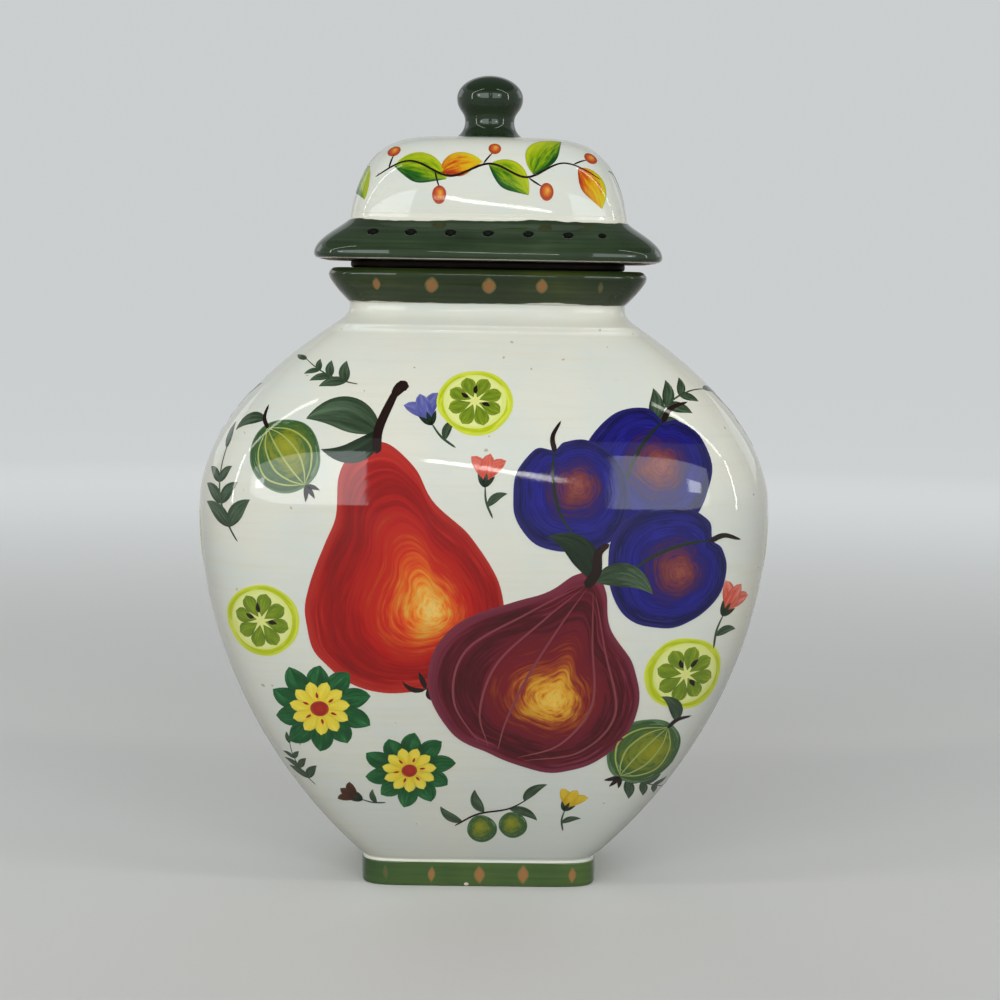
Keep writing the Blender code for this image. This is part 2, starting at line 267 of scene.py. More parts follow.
def stepped_rows(steps, width, depth, squareness):
    """Rows that stand the same step outside an oblong on all sides, from points of (step, level)."""
    steps = np.asarray(steps, float)
    return np.stack([
        width / 2 + steps[:, 0] - PAINT_ROOM,
        depth / 2 + steps[:, 0] - PAINT_ROOM,
        steps[:, 1],
        np.full(len(steps), squareness),
    ], 1)


def foot_rows(steps):
    return stepped_rows(steps, FOOT_WIDTH, FOOT_DEPTH, FOOT_SQUARENESS)


def neck_rows(steps):
    return stepped_rows(steps, NECK_WIDTH, NECK_DEPTH, NECK_SQUARENESS)


def inside(rows, wall):
    """The same rows moved in through the clay, square to the outline."""
    along = rows[2:, [0, 2]] - rows[:-2, [0, 2]]
    along /= np.linalg.norm(along, axis=1)[:, None]
    moved = rows[1:-1].copy()
    moved[:, 0] -= along[:, 1] * wall
    moved[:, 1] -= along[:, 1] * wall
    moved[:, 2] += along[:, 0] * wall
    return moved


# %% Rows of the body
inner_foot = (FOOT_WIDTH / 2 - FOOT_RING, FOOT_DEPTH / 2 - FOOT_RING)
recess_rows = [(share * inner_foot[0], share * inner_foot[1], FOOT_RECESS, FOOT_SQUARENESS)
               for share in (*END_SHARES, 0.93)]
clay_rows = np.concatenate([
    recess_rows,
    foot_rows(bezier(((-FOOT_RING, FOOT_RECESS), (-FOOT_RING, 0.0), (-FOOT_RING + 2 * FOOT_EDGE, 0.0)), 6)),
    foot_rows([(-FOOT_RING / 2, 0.0)]),
])
foot_wall_rows = np.concatenate([
    foot_rows(arc((-FOOT_EDGE, FOOT_EDGE), FOOT_EDGE, -90, 0, 5)),
    foot_rows([(0.0, level) for level in np.linspace(*FOOT_WALL_LEVELS, 6)]),
    foot_rows(arc((-FOOT_SHOULDER, FOOT_BAND - FOOT_SHOULDER), FOOT_SHOULDER, 0, 80, 6)),
])
belly_step = belly_rows([BELLY_START])[0, 0] - FOOT_WIDTH / 2 + PAINT_ROOM
foot_cove_rows = foot_rows(bezier((
    (-FOOT_SHOULDER, FOOT_BAND), (-FOOT_COVE - 0.0006, FOOT_BAND + 0.0001),
    (-FOOT_COVE, FOOT_BAND + 0.0009), (belly_step, BELLY_START)), 8))[:-1]
main_rows = belly_rows(np.linspace(BELLY_START, COVE_START, 112))
cove_step = main_rows[-1][0] - NECK_WIDTH / 2 + PAINT_ROOM
cove_rows = neck_rows(bezier((
    (cove_step, COVE_START), (0.2 * cove_step, COVE_START + 0.0036), (0.0, SHOULDER_TOP + 0.0006),
    (0.0, COVE_TOP)), 14))[1:]
flare = [(RIM_OVERHANG * out, NECK_TOP + (RIM_HEIGHT - RIM_EDGE) * up)
         for out, up in bezier(RIM_FLARE, 20)]
rim_edge = arc((RIM_OVERHANG - RIM_EDGE, RIM_TOP - RIM_EDGE), RIM_EDGE, 0, 90, 14)
bore_edge = arc((-WALL + BORE_EDGE, RIM_TOP - BORE_EDGE), BORE_EDGE, 90, 180, 5)
rim_rows = neck_rows(np.concatenate([flare, rim_edge[1:], [(0.0, RIM_TOP)], bore_edge]))
inner_wall = inside(main_rows[::3], WALL)
inner_levels = inner_wall[:, 2]
inner_wall = inner_wall[(inner_levels > FLOOR_CURVE_TOP) & (inner_levels < COVE_START - WALL)]
floor_width, floor_depth, _, floor_squareness = inner_wall[0]
hollow_rows = np.concatenate([
    neck_rows([(-WALL, NECK_TOP), (-WALL, SHOULDER_TOP)]),
    inner_wall[::-1],
    [(floor_width - step, floor_depth - step, FLOOR_LEVEL + rise, floor_squareness)
     for step, rise in FLOOR_CURVE],
    [(floor_width * share, floor_depth * share, FLOOR_LEVEL, floor_squareness)
     for share in reversed(END_SHARES)],
])
outside_rows = np.concatenate([foot_wall_rows, foot_cove_rows, main_rows, cove_rows, rim_rows])
body_rows = np.concatenate([clay_rows, outside_rows, hollow_rows])
print(f"body: {len(body_rows)} rows, widest {2 * main_rows[:, 0].max() / MM:.2f} mm")

# %% [markdown]
# ## Waviness of cast clay
#
# A cast and fettled pot is never quite true. Its walls wander by a few hundredths of a millimetre,
# which nobody would measure but every window reflection shows. A bump in the glaze's material could
# bend the reflections too, but the paint above would not share it. So the points themselves are
# pushed out and in by a smooth noise with long waves, and every layer that lies on them follows.

# %% Push the points about
WAVE_LENGTH, WAVE_HEIGHT = 0.030, 0.00005


def normals_of(grid):
    """The direction that looks out of a grid of rings, at every point."""
    across = np.roll(grid, -1, 1) - np.roll(grid, 1, 1)
    up = np.empty_like(grid)
    up[1:-1] = grid[2:] - grid[:-2]
    up[0], up[-1] = grid[1] - grid[0], grid[-1] - grid[-2]
    out = np.cross(across, up)
    return out / np.maximum(np.linalg.norm(out, axis=2), 1e-12)[..., None]


def waved(grid, height=WAVE_HEIGHT, length=WAVE_LENGTH):
    """The grid with the slight waviness of cast clay."""
    shift = [noise.noise(Vector(p) / length) for p in grid.reshape(-1, 3)]
    return grid + normals_of(grid) * (np.reshape(shift, grid.shape[:2]) * height)[..., None]


print(f"waves: {WAVE_LENGTH / MM:.0f} mm long, {WAVE_HEIGHT / MM:.2f} mm high")

# %% [markdown]
# ## Mixing glazes from nodes
#
# Every finish here is a Principled shader whose colour, gloss and fine relief come from a few noise
# nodes. They could be wired one by one, with three or four lines for each node. But the same dozen
# turn up in every finish, so a small class brings each down to one line. A number that is the same
# all over is set on the shader itself, where an export can read it.

# %% A class that mixes a finish
GLAZE_GLOSS, GLAZE_SHINE = (0.015, 0.045), 0.40
GLOSS_SCALE, ORANGE_PEEL_SCALE = 60.0, 260.0


def srgb(red, green, blue):
    """The linear colour that a screen shows as these three bytes."""
    shares = [value / 255 for value in (red, green, blue)]
    return (*[s / 12.92 if s <= 0.04045 else ((s + 0.055) / 1.055) ** 2.4 for s in shares], 1.0)


class Mix:
    """A finish being mixed. Most of its methods add one node and return that node's output."""

    def __init__(self, name):
        self.material = bpy.data.materials.new(name)
        self.material.use_nodes = True
        self.tree = self.material.node_tree
        self.shader = self.tree.nodes["Principled BSDF"]

    def add(self, kind, inputs, output=0, **settings):
        """A new node of some kind, with its inputs fed. Returns one of its outputs."""
        node = self.tree.nodes.new("ShaderNode" + kind)
        for key, value in settings.items():
            setattr(node, key, value)
        for key, value in inputs.items():
            self.feed(node.inputs[key], value)
        return node.outputs[output]

    def feed(self, socket, value):
        """Lead another node's output into a socket, or give it a plain value."""
        if isinstance(value, bpy.types.NodeSocket):
            self.tree.links.new(value, socket)
        else:
            socket.default_value = value

    def set(self, name, value):
        """Give a socket of the shader a plain value, or lead a node's output into it."""
        self.feed(self.shader.inputs[name], value)

    def place(self):
        """The point on the jar, in metres."""
        return self.add("TexCoord", {}, "Object")

    def map(self, name):
        """A map drawn on the piece, as a vector."""
        return self.add("UVMap", {}, uv_map=name)

    def math(self, operation, *values):
        return self.add("Math", dict(enumerate(values)), operation=operation)

    def times(self, *values):
        return self.math("MULTIPLY", *values)

    def plus(self, *values):
        return self.math("ADD", *values)

    def minus(self, *values):
        return self.math("SUBTRACT", *values)

    def vector(self, operation, *values, output=0):
        return self.add("VectorMath", dict(enumerate(values)), output, operation=operation)

    def part(self, vector, axis):
        return self.add("SeparateXYZ", {0: vector}, axis)

    def join(self, x, y, z=0.0):
        return self.add("CombineXYZ", {0: x, 1: y, 2: z})

    def noise(self, vector, scale, detail=2.0, roughness=0.5):
        inputs = {"Vector": vector, "Scale": scale, "Detail": detail, "Roughness": roughness}
        return self.add("TexNoise", inputs)

    def fit(self, value, low, high, to_low=0.0, to_high=1.0):
        """The value eased from one span to another."""
        inputs = {0: value, 1: low, 2: high, 3: to_low, 4: to_high}
        return self.add("MapRange", inputs, interpolation_type="SMOOTHSTEP")

    def ramp(self, value, stops):
        """A colour that runs through (place, colour) stops."""
        output = self.add("ValToRGB", {0: value})
        elements = output.node.color_ramp.elements
        while len(elements) < len(stops):
            elements.new(0.5)
        for element, (place, color) in zip(elements, stops):
            element.position = place
            element.color = color
        return output

    def blend(self, share, first, second):
        return self.add("Mix", {0: share, 6: first, 7: second}, 2, data_type="RGBA")

    def tone(self, color, value):
        """The colour made lighter or darker by a value round 1."""
        return self.add("HueSaturation", {"Value": value, "Color": color})

    def relief(self, height, distance):
        """Fine relief, whose height of 1 stands this far out."""
        return self.add("Bump", {"Height": height, "Distance": distance, "Strength": 1.0})

    def glaze(self, color, relief=None, distance=0.000008):
        """Finish the mix as a glossy glaze of that colour."""
        place = self.place()
        self.set("Base Color", color)
        self.set("Specular IOR Level", GLAZE_SHINE)
        gloss = self.noise(place, GLOSS_SCALE, 4.0)
        self.set("Roughness", self.fit(gloss, 0.3, 0.7, *GLAZE_GLOSS))
        height = self.noise(place, ORANGE_PEEL_SCALE, 2.0) if relief is None else relief
        self.set("Normal", self.relief(height, distance))
        return self.material


print(f"glaze: roughness {GLAZE_GLOSS[0]} to {GLAZE_GLOSS[1]}")

# %% [markdown]
# ## Cream glaze and bare clay
#
# The cream is a clear glossy glaze over white slip. It is not one flat colour: it clouds to a cooler
# cream in places, it has faint wiped lines that run round the pot, and here and there an iron speck
# shows through. Under the foot and on the lid's plug the glaze was wiped off, so that the pieces
# would not stick in the kiln, and the bare clay there is matt, pinkish and slightly gritty. A painted
# picture could hold all this, but noise that fills space has no seam and needs no map.

# %% Cream and clay
CREAM, CREAM_WARM, CREAM_COOL = srgb(221, 218, 204), srgb(215, 208, 188), srgb(213, 215, 206)
SPECK, CLAY_PALE, CLAY_DARK = srgb(150, 120, 88), srgb(214, 196, 178), srgb(184, 160, 140)
CLOUD_SCALE, WIPE_SCALE, WIPE_STRETCH, WIPE_SHARE = 22.0, 26.0, 22.0, 0.45
SPECK_SCALE, SPECK_SHARE = 420.0, 0.55
GRIT_SCALE, GRIT_HEIGHT, CLAY_CLOUD_SCALE = 900.0, 0.00008, 90.0


def mix_cream():
    mix = Mix("cream_glaze")
    place = mix.place()
    cloud = mix.fit(mix.noise(place, CLOUD_SCALE, 4.0, 0.6), 0.35, 0.65)
    wiped = mix.vector("MULTIPLY", place, (1.0, 1.0, WIPE_STRETCH))
    lines = mix.fit(mix.noise(wiped, WIPE_SCALE, 5.0, 0.65), 0.45, 0.75)
    color = mix.blend(cloud, CREAM, CREAM_COOL)
    color = mix.blend(mix.times(lines, WIPE_SHARE), color, CREAM_WARM)
    speck = mix.fit(mix.noise(place, SPECK_SCALE, 0.0), 0.84, 0.87)
    color = mix.blend(mix.times(speck, SPECK_SHARE), color, SPECK)
    return mix.glaze(color)


def mix_clay():
    mix = Mix("bare_clay")
    place = mix.place()
    grit = mix.noise(place, GRIT_SCALE, 3.0, 0.7)
    cloud = mix.fit(mix.noise(place, CLAY_CLOUD_SCALE, 4.0), 0.35, 0.7)
    color = mix.blend(cloud, CLAY_PALE, CLAY_DARK)
    mix.set("Base Color", mix.tone(color, mix.fit(grit, 0.3, 0.7, 0.9, 1.06)))
    mix.set("Roughness", mix.fit(grit, 0.3, 0.7, 0.72, 0.92))
    mix.set("Normal", mix.relief(grit, GRIT_HEIGHT))
    return mix.material


cream_glaze, bare_clay = mix_cream(), mix_clay()
for material in (cream_glaze, bare_clay):
    print(f"{material.name}: {len(material.node_tree.nodes)} nodes")

# %% [markdown]
# ## The body's skin
#
# The body is hollow clay with a rim to look over. A Solidify modifier could thicken an outer surface,
# but it would not make the foot's recess or the thicker floor. So one closed skin runs from the
# middle of the foot's underside, up the outside, over the rim and down to the floor inside, and the
# clay has its real thickness wherever one looks into it. The first rows are bare clay and the rest
# are cream. The green bands and the painting come later, as thin layers of their own on top.

# %% Build the skin
body_grid = waved(rings(body_rows))
body_grid[..., 2] = np.maximum(body_grid[..., 2], 0.0)
body_slots = np.zeros(len(body_rows), int)
body_slots[:len(clay_rows) + 2] = 1
jar_skin = closed_skin("jar_skin", body_grid, [cream_glaze, bare_clay], body_slots)
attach(jar_skin, "jar")
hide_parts("jar_body")
print(f"jar_skin: {len(jar_skin.data.polygons)} faces")

# %% [markdown]
# ## Bands of green glaze
#
# A band is a second dip of dark green round the rim, the lid's flange and the foot. Each is modelled
# as a thin closed hoop that lies a few hundredths of a millimetre proud of the skin. It could be a
# second material on the same mesh, but a hoop of its own keeps a crisp painted edge and leaves room
# for a map that runs round it, along which the brush's streaks are drawn. Its rows are the skin's own,
# less the few at its ends where clay or cream shows. The green is darkest where it lies thick, goes
# olive where it runs thin, and shows the streaks of the brush.

# %% Green glaze
GREEN_DEEP, GREEN, GREEN_OLIVE = srgb(24, 37, 18), srgb(39, 53, 23), srgb(66, 73, 24)
GREEN_FOOT_DEEP, GREEN_FOOT_MIDDLE, GREEN_FOOT = srgb(44, 70, 36), srgb(66, 90, 42), srgb(82, 106, 46)
FLANGE_MIDDLE, FLANGE_THIN = srgb(44, 61, 37), srgb(66, 80, 54)
# Near-black of the dimples: partly glaze pooled there, and partly painted shade of the deep hollow.
POOL_AND_SHADE = srgb(3, 5, 3)
STREAK_SCALES, PATCH_SCALE, GREEN_CLOUD_SCALE = (18.0, 420.0), 14.0, 34.0


def mix_green(name, deep, middle, thin, thin_share=(0.52, 0.78), fade=None, wobble=None):
    """Green glaze, streaked along the first axis of the piece's map, which is in metres.

    fade is where it gives way to cream, and wobble how often and how far that edge strays.
    """
    mix = Mix(name)
    band = mix.map("band")
    along, up = mix.part(band, "X"), mix.part(band, "Y")
    streak_at = mix.join(mix.times(along, STREAK_SCALES[0]), mix.times(up, STREAK_SCALES[1]))
    streak = mix.noise(streak_at, 1.0, 4.0, 0.6)
    cloud = mix.noise(mix.place(), GREEN_CLOUD_SCALE, 3.0)
    depth = mix.plus(mix.times(streak, 0.5), mix.times(cloud, 0.5))
    color = mix.ramp(depth, [(0.36, deep), (0.55, middle), (0.72, thin)])
    patch = mix.noise(mix.join(mix.times(along, PATCH_SCALE), up), 1.0, 3.0)
    color = mix.blend(mix.times(mix.fit(patch, *thin_share), 0.5), color, thin)
    # In the dimples the green turns near-black: pooled glaze, darkened further by painted shade.
    color = mix.blend(mix.part(mix.map("pool_and_shade"), "X"), color, POOL_AND_SHADE)
    if fade:
        brushed = mix.noise(mix.join(mix.times(along, wobble[0]), 3.0), 1.0, 4.0, 0.6)
        edge = mix.plus(mix.part(mix.map("pool_and_shade"), "Y"), mix.times(brushed, wobble[1]))
        color = mix.blend(mix.fit(edge, *fade), color, CREAM)
    return mix.glaze(color, relief=streak, distance=0.00001)


rim_green = mix_green("rim_green", GREEN_DEEP, GREEN, GREEN_OLIVE,
                      fade=(0.240, 0.226), wobble=(16.0, 0.40))
flange_green = mix_green("flange_green", GREEN_DEEP, FLANGE_MIDDLE, FLANGE_THIN,
                         fade=(1.14, 1.155), wobble=(17.0, 0.40))
foot_green = mix_green("foot_green", GREEN_FOOT_DEEP, GREEN_FOOT_MIDDLE, GREEN_FOOT, (0.42, 0.72))
print(f"rim_green: {len(rim_green.node_tree.nodes)} nodes")

# %% A hoop of glaze
FILM, SINK = 0.00006, 0.00012
# Faces this far into a dimple's pooled glaze and painted shade take the dark, dull finish.
POOL_AND_SHADE_FROM = 0.5


def hoop(name, rows, materials, thick=SINK, count=RING_COUNT, press=None, fade_from=None, back_step=1):
    """A closed hoop of glaze on rows that run upward. press returns how deep each point is pushed in.

    Where it returns glaze pooled in a dimple, the faces take the second of the materials, whose near-black
    is partly pooled glaze and partly painted shade. The back of a thick hoop is buried in the clay, so it
    may keep only one row in so many.
    """
    outer = waved(rings(rows, count))
    out = normals_of(outer)
    depth, pool_and_shade = np.zeros(outer.shape[:2]), np.zeros(outer.shape[:2])
    if press:
        depth, pool_and_shade = press(outer)
    back = np.unique([*range(0, len(rows), back_step), len(rows) - 1])[::-1]
    inner = (outer - out * thick)[back]
    outer = outer + out * (FILM - depth)[..., None]
    grid = np.concatenate([outer, inner])
    pool_and_shade_grid = np.concatenate([pool_and_shade, pool_and_shade[back]])
    slots = (pool_and_shade_grid > POOL_AND_SHADE_FROM).astype(int).ravel()
    faces = grid_faces(len(grid), count, hoop=True)
    piece = new_object(name, grid.reshape(-1, 3), faces, materials, slots)
    step = np.linalg.norm(np.diff(rows[:, [0, 2]], axis=0), axis=1)
    up = np.concatenate([[0], np.cumsum(step)])
    round_step = np.linalg.norm(np.roll(outer[0], -1, 0) - outer[0], axis=1)
    along = np.concatenate([[0], np.cumsum(round_step)])
    fade = np.zeros(len(rows)) if fade_from is None else up / fade_from
    ups, fades = np.concatenate([up, up[back]]), np.concatenate([fade, fade[back]])
    map_hoop(piece, along, ups, pool_and_shade_grid, fades)
    return piece


def map_hoop(piece, along, ups, pool_and_shade_grid, fades):
    """The maps of a hoop: metres round and up it, and how much pooled glaze and painted shade darken it
    there.
    """
    rows, count = pool_and_shade_grid.shape
    band, pool_and_shade = [], []
    for row in range(rows):
        above = (row + 1) % rows
        for column in range(count):
            after = (column + 1) % count
            band += [along[column], ups[row], along[column + 1], ups[row],
                     along[column + 1], ups[above], along[column], ups[above]]
            pool_and_shade += [pool_and_shade_grid[row, column], fades[row], pool_and_shade_grid[row, after], fades[row],
                     pool_and_shade_grid[above, after], fades[above], pool_and_shade_grid[above, column], fades[above]]
    for name, values in (("band", band), ("pool_and_shade", pool_and_shade)):
        piece.data.uv_layers.new(name=name, do_init=False).uv.foreach_set("vector", values)


# %% The bands of the rim and the foot
RIM_BAND_ROWS, FOOT_BAND_ROWS = slice(-4), slice(2, -2)
rim_band = hoop("rim_band", rim_rows[RIM_BAND_ROWS], [rim_green], fade_from=RIM_HEIGHT + RIM_OVERHANG)
foot_band = hoop("foot_band", foot_wall_rows[FOOT_BAND_ROWS], [foot_green])
for band in (rim_band, foot_band):
    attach(band, "jar")
    print(f"{band.name}: {len(band.data.polygons)} faces")

# %% [markdown]
# ## The lid
#
# The lid is one casting: a domed box, a flange that sails out over the jar's rim, and a plug below
# that drops into the bore. The dome is a superellipse in section too: nearly flat on top, then a
# quick turn down. It could be three objects joined by a Boolean, but their seams would break the
# glaze's reflections, so it is one closed shell with its hollow inside. The green flange is a thicker
# hoop of glaze round it, because dimples over a millimetre deep are pressed into its slope. Below
# that hoop the shell's own rows lie deeper, to make room for the dimples.

# %% Sizes of the lid
LID_OVERHANG, LID_EDGE, FLANGE_HEIGHT = 0.0051, 0.0019, 0.0146
FLANGE_STEP = RIM_OVERHANG + LID_OVERHANG
DOME_WIDTH, DOME_DEPTH, DOME_POWERS, CROWN_SQUARENESS = 0.0992, 0.0718, (1.4, 6.0), 4.5
DOME_TOP = lid_high.z
DOME_HEIGHT = 0.0297
DOME_BASE = DOME_TOP - DOME_HEIGHT
LID_UNDERSIDE = DOME_BASE - FLANGE_HEIGHT
LID_WALL, PLUG_WALL, PLUG_EDGE = 0.0050, 0.0045, 0.0008
PLUG_FOOT = lid_low.z
SEAT_GAP, SEAL_SKIRT, FIN_REACH, FIN_CLEARANCE = 0.0003, 0.0014, 0.0016, 0.0005
PLUG_STEP = -WALL - FIN_CLEARANCE - FIN_REACH - SEAL_SKIRT - SEAT_GAP
FLANGE_SLOPE = ((1.0, 0.0), (0.98, 0.45), (0.12, 0.78), (0.0, 1.0))
TIP_CENTER = (FLANGE_STEP - LID_EDGE, LID_UNDERSIDE + LID_EDGE)
GREEN_START = -52
HOOP_DEPTH = 0.0017
CORE_ROWS, CORE_SINK = slice(7, -9, 5), 0.6 * HOOP_DEPTH
print(f"lid: flange {FLANGE_HEIGHT / MM:.1f} mm high, dome {DOME_HEIGHT / MM:.1f} mm")

# %% Curves of the lid
def dome_rows(shares):
    """Rows of the dome, from shares of its half width, 1 at its foot and 0 in the middle of its crown."""
    shares = np.asarray(shares, float)
    height = (1 - shares ** DOME_POWERS[1]) ** (1 / DOME_POWERS[0])
    squareness = CROWN_SQUARENESS + (NECK_SQUARENESS - CROWN_SQUARENESS) * (1 - height)
    return np.stack([DOME_WIDTH / 2 * shares - PAINT_ROOM, DOME_DEPTH / 2 * shares - PAINT_ROOM,
                     DOME_BASE + DOME_HEIGHT * height, squareness], 1)


def dome_shares(side_count, crown_count):
    """Shares that climb the dome's side by even heights, then cross its crown by even steps."""
    height = np.linspace(0.0, 0.72, side_count)
    side = (1 - height ** DOME_POWERS[0]) ** (1 / DOME_POWERS[1])
    return np.concatenate([side, np.linspace(side[-1], 0.04, crown_count + 1)[1:]])


def on_slope(shares):
    """Points of (step, level) on the flange, from shares of its reach and of its rise."""
    return [(FLANGE_STEP * out, TIP_CENTER[1] + (DOME_BASE - TIP_CENTER[1]) * up) for out, up in shares]


# %% Rows of the lid
slope = on_slope(bezier(FLANGE_SLOPE, 56))
tip = arc(TIP_CENTER, LID_EDGE, GREEN_START, 0, 8)[:-1]
tip_lip = arc(TIP_CENTER, LID_EDGE, -90, GREEN_START, 6)
dome = dome_rows(dome_shares(44, 34))
hollow = inside(dome_rows(dome_shares(14, 10)), LID_WALL)
core = neck_rows(slope)[CORE_ROWS]
core[:, :3] -= CORE_SINK
plug_inside, plug_turn = PLUG_STEP - PLUG_WALL, PLUG_FOOT + PLUG_EDGE
lid_rows = np.concatenate([
    hollow[::-1],
    neck_rows([(plug_inside, LID_UNDERSIDE + LID_WALL), (plug_inside, plug_turn)]),
    neck_rows(arc((plug_inside + PLUG_EDGE, plug_turn), PLUG_EDGE, 180, 270, 4)),
    neck_rows(arc((PLUG_STEP - PLUG_EDGE, plug_turn), PLUG_EDGE, -90, 0, 4)),
    neck_rows([(PLUG_STEP, LID_UNDERSIDE - 0.0012), (PLUG_STEP + 0.0012, LID_UNDERSIDE)]),
    neck_rows(tip_lip),
    core,
    dome,
])
clay_from = len(hollow) + 1
clay_to = len(lid_rows) - len(dome) - len(core) - len(tip_lip)
lid_slots = np.zeros(len(lid_rows), int)
lid_slots[clay_from:clay_to] = 1
lid_shell = closed_skin("lid_shell", waved(rings(lid_rows)), [cream_glaze, bare_clay], lid_slots)
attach(lid_shell, "lid")
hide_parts("lid")
print(f"lid_shell: {len(lid_shell.data.polygons)} faces")

# %% [markdown]
# ## Dimples
#
# A row of small ovals is pressed into the flange's slope before the glaze goes on, seven on each long
# face and five on each short one. A Boolean cut would leave them hard lips and torn faces round about,
# so the hoop's own points are pushed in, with a soft lip, as a tool pushes clay. The tool never lands
# twice alike: depth and place wander a little, and the last of a row are shallower. The glaze pools in
# them, and their floor is painted near-black with a dull finish of its own: partly the darker pooled
# glaze, and partly painted shade, because a small deep hollow catches far less light than the open
# glaze round it.

# %% Press the dimples
DIMPLE_LENGTH, DIMPLE_HEIGHT, DIMPLE_DEPTH, DIMPLE_PITCH = 0.0041, 0.0037, 0.0015, 0.0134
DIMPLE_COUNTS = (7, 5, 7, 5)
DIMPLE_STRAY, DIMPLE_LAST_LIFT = (0.0005, 0.00025), 0.14
FLANGE_COUNT, FADE_RISE = 1200, 0.05
# The dimples' dark, dull floor: pooled glaze plus painted shade, with little reflection, as a deep hollow
# catches little light.
POOL_AND_SHADE_THIN, POOL_AND_SHADE_SHINE, POOL_AND_SHADE_SCALE = srgb(9, 12, 8), 0.06, 300.0


def dimple_places():
    """The middle of each dimple, the direction in which its row runs, and how hard it was pressed."""
    hand = np.random.default_rng(7)
    step, level = bezier(on_slope(FLANGE_SLOPE), 3)[1]
    for side, count in enumerate(DIMPLE_COUNTS):
        half = NECK_WIDTH / 2 if side % 2 else NECK_DEPTH / 2
        other = NECK_DEPTH / 2 if side % 2 else NECK_WIDTH / 2
        turn = Matrix.Rotation(math.pi / 2 * side, 3, "Z")
        for index in range(count):
            across = (index - (count - 1) / 2) * DIMPLE_PITCH + hand.normal(0, DIMPLE_STRAY[0])
            bow = (1 - abs(across / (other + step)) ** NECK_SQUARENESS) ** (1 / NECK_SQUARENESS)
            height = level + hand.normal(0, DIMPLE_STRAY[1])
            middle = turn @ Vector((across, -(half + step) * bow, height))
            force = hand.uniform(0.80, 1.0) - DIMPLE_LAST_LIFT * max(0, index + 3 - count)
            yield np.array(middle), np.array(turn @ Vector((1, 0, 0))), force


# A near-black, dull finish for the dimples' floors: partly pooled glaze, partly painted shade.
def mix_pool_and_shade():
    mix = Mix("pooled_glaze_and_shade")
    pooled = mix.noise(mix.place(), POOL_AND_SHADE_SCALE, 3.0)
    mix.set("Base Color", mix.blend(pooled, POOL_AND_SHADE, POOL_AND_SHADE_THIN))
    mix.set("Specular IOR Level", POOL_AND_SHADE_SHINE)
    mix.set("Roughness", mix.fit(pooled, 0.3, 0.7, 0.30, 0.50))
    return mix.material


def press_dimples(points):
    """How deep each point of the hoop is pushed in, and how much pooled glaze and painted shade darken it
    there.
    """
    depth, pool_and_shade = np.zeros(points.shape[:2]), np.zeros(points.shape[:2])
    for middle, across, force in dimple_places():
        away = np.linalg.norm(points - middle, axis=2)
        gap = points - points[np.unravel_index(away.argmin(), away.shape)]
        side = gap @ across
        up = np.linalg.norm(gap - side[..., None] * across, axis=2)
        reach = np.sqrt((side / (DIMPLE_LENGTH / 2)) ** 2 + (up / (DIMPLE_HEIGHT / 2)) ** 2)
        reach /= force ** 0.5
        dent = 1 - ease((reach - 0.45) / 0.55)
        depth = np.maximum(depth, dent * DIMPLE_DEPTH * force)
        # Pooled glaze and painted shade, darkest in a dimple's middle.
        pool_and_shade = np.maximum(pool_and_shade, (1 - ease((reach - 0.85) / 0.25)) * min(1.0, 1.1 * force))
    return depth, pool_and_shade


# %% The flange's band
fade_heights = np.linspace(0.0, FADE_RISE, 5)[1:]
fade_rows = dome_rows((1 - fade_heights ** DOME_POWERS[0]) ** (1 / DOME_POWERS[1]))
slope_rows = neck_rows(np.concatenate([tip, slope[:-1]]))
flange_rows = np.concatenate([slope_rows, dome[:1], fade_rows])
flange_length = np.linalg.norm(np.diff(slope_rows[:, [0, 2]], axis=0), axis=1).sum()
flange_band = hoop("flange_band", flange_rows, [flange_green, mix_pool_and_shade()], thick=HOOP_DEPTH,
                   count=FLANGE_COUNT, press=press_dimples, fade_from=flange_length, back_step=6)
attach(flange_band, "lid")
print(f"flange_band: {len(flange_band.data.polygons)} faces, {sum(DIMPLE_COUNTS)} dimples")

# %% [markdown]
# ## Knob
#
# The knob is a small turned form, a flattened ball on a waisted stem, stuck to the crown with slip
# before firing. A Screw modifier could turn it, but the loft that made the body makes it as well, as
# rings with a squareness of 2, which are circles. A fillet of slip and glaze runs out on the crown
# round its foot.

# %% Turn the knob
KNOB_BASE = knob_high.x
KNOB_WAIST, KNOB_BALL = 0.0090, 0.0120
KNOB_FOOT = knob_low.z
KNOB_WAIST_RISE, KNOB_BALL_RISE, KNOB_TOP_RISE = 0.0062, 0.0081, 0.0082
SLIP_FILLET = 0.0007
KNOB_COUNT, KNOB_WAVE_HEIGHT, KNOB_WAVE_LENGTH = 128, 0.00004, 0.012
KNOB_MIDDLE, KNOB_THIN = srgb(26, 44, 21), srgb(38, 56, 29)


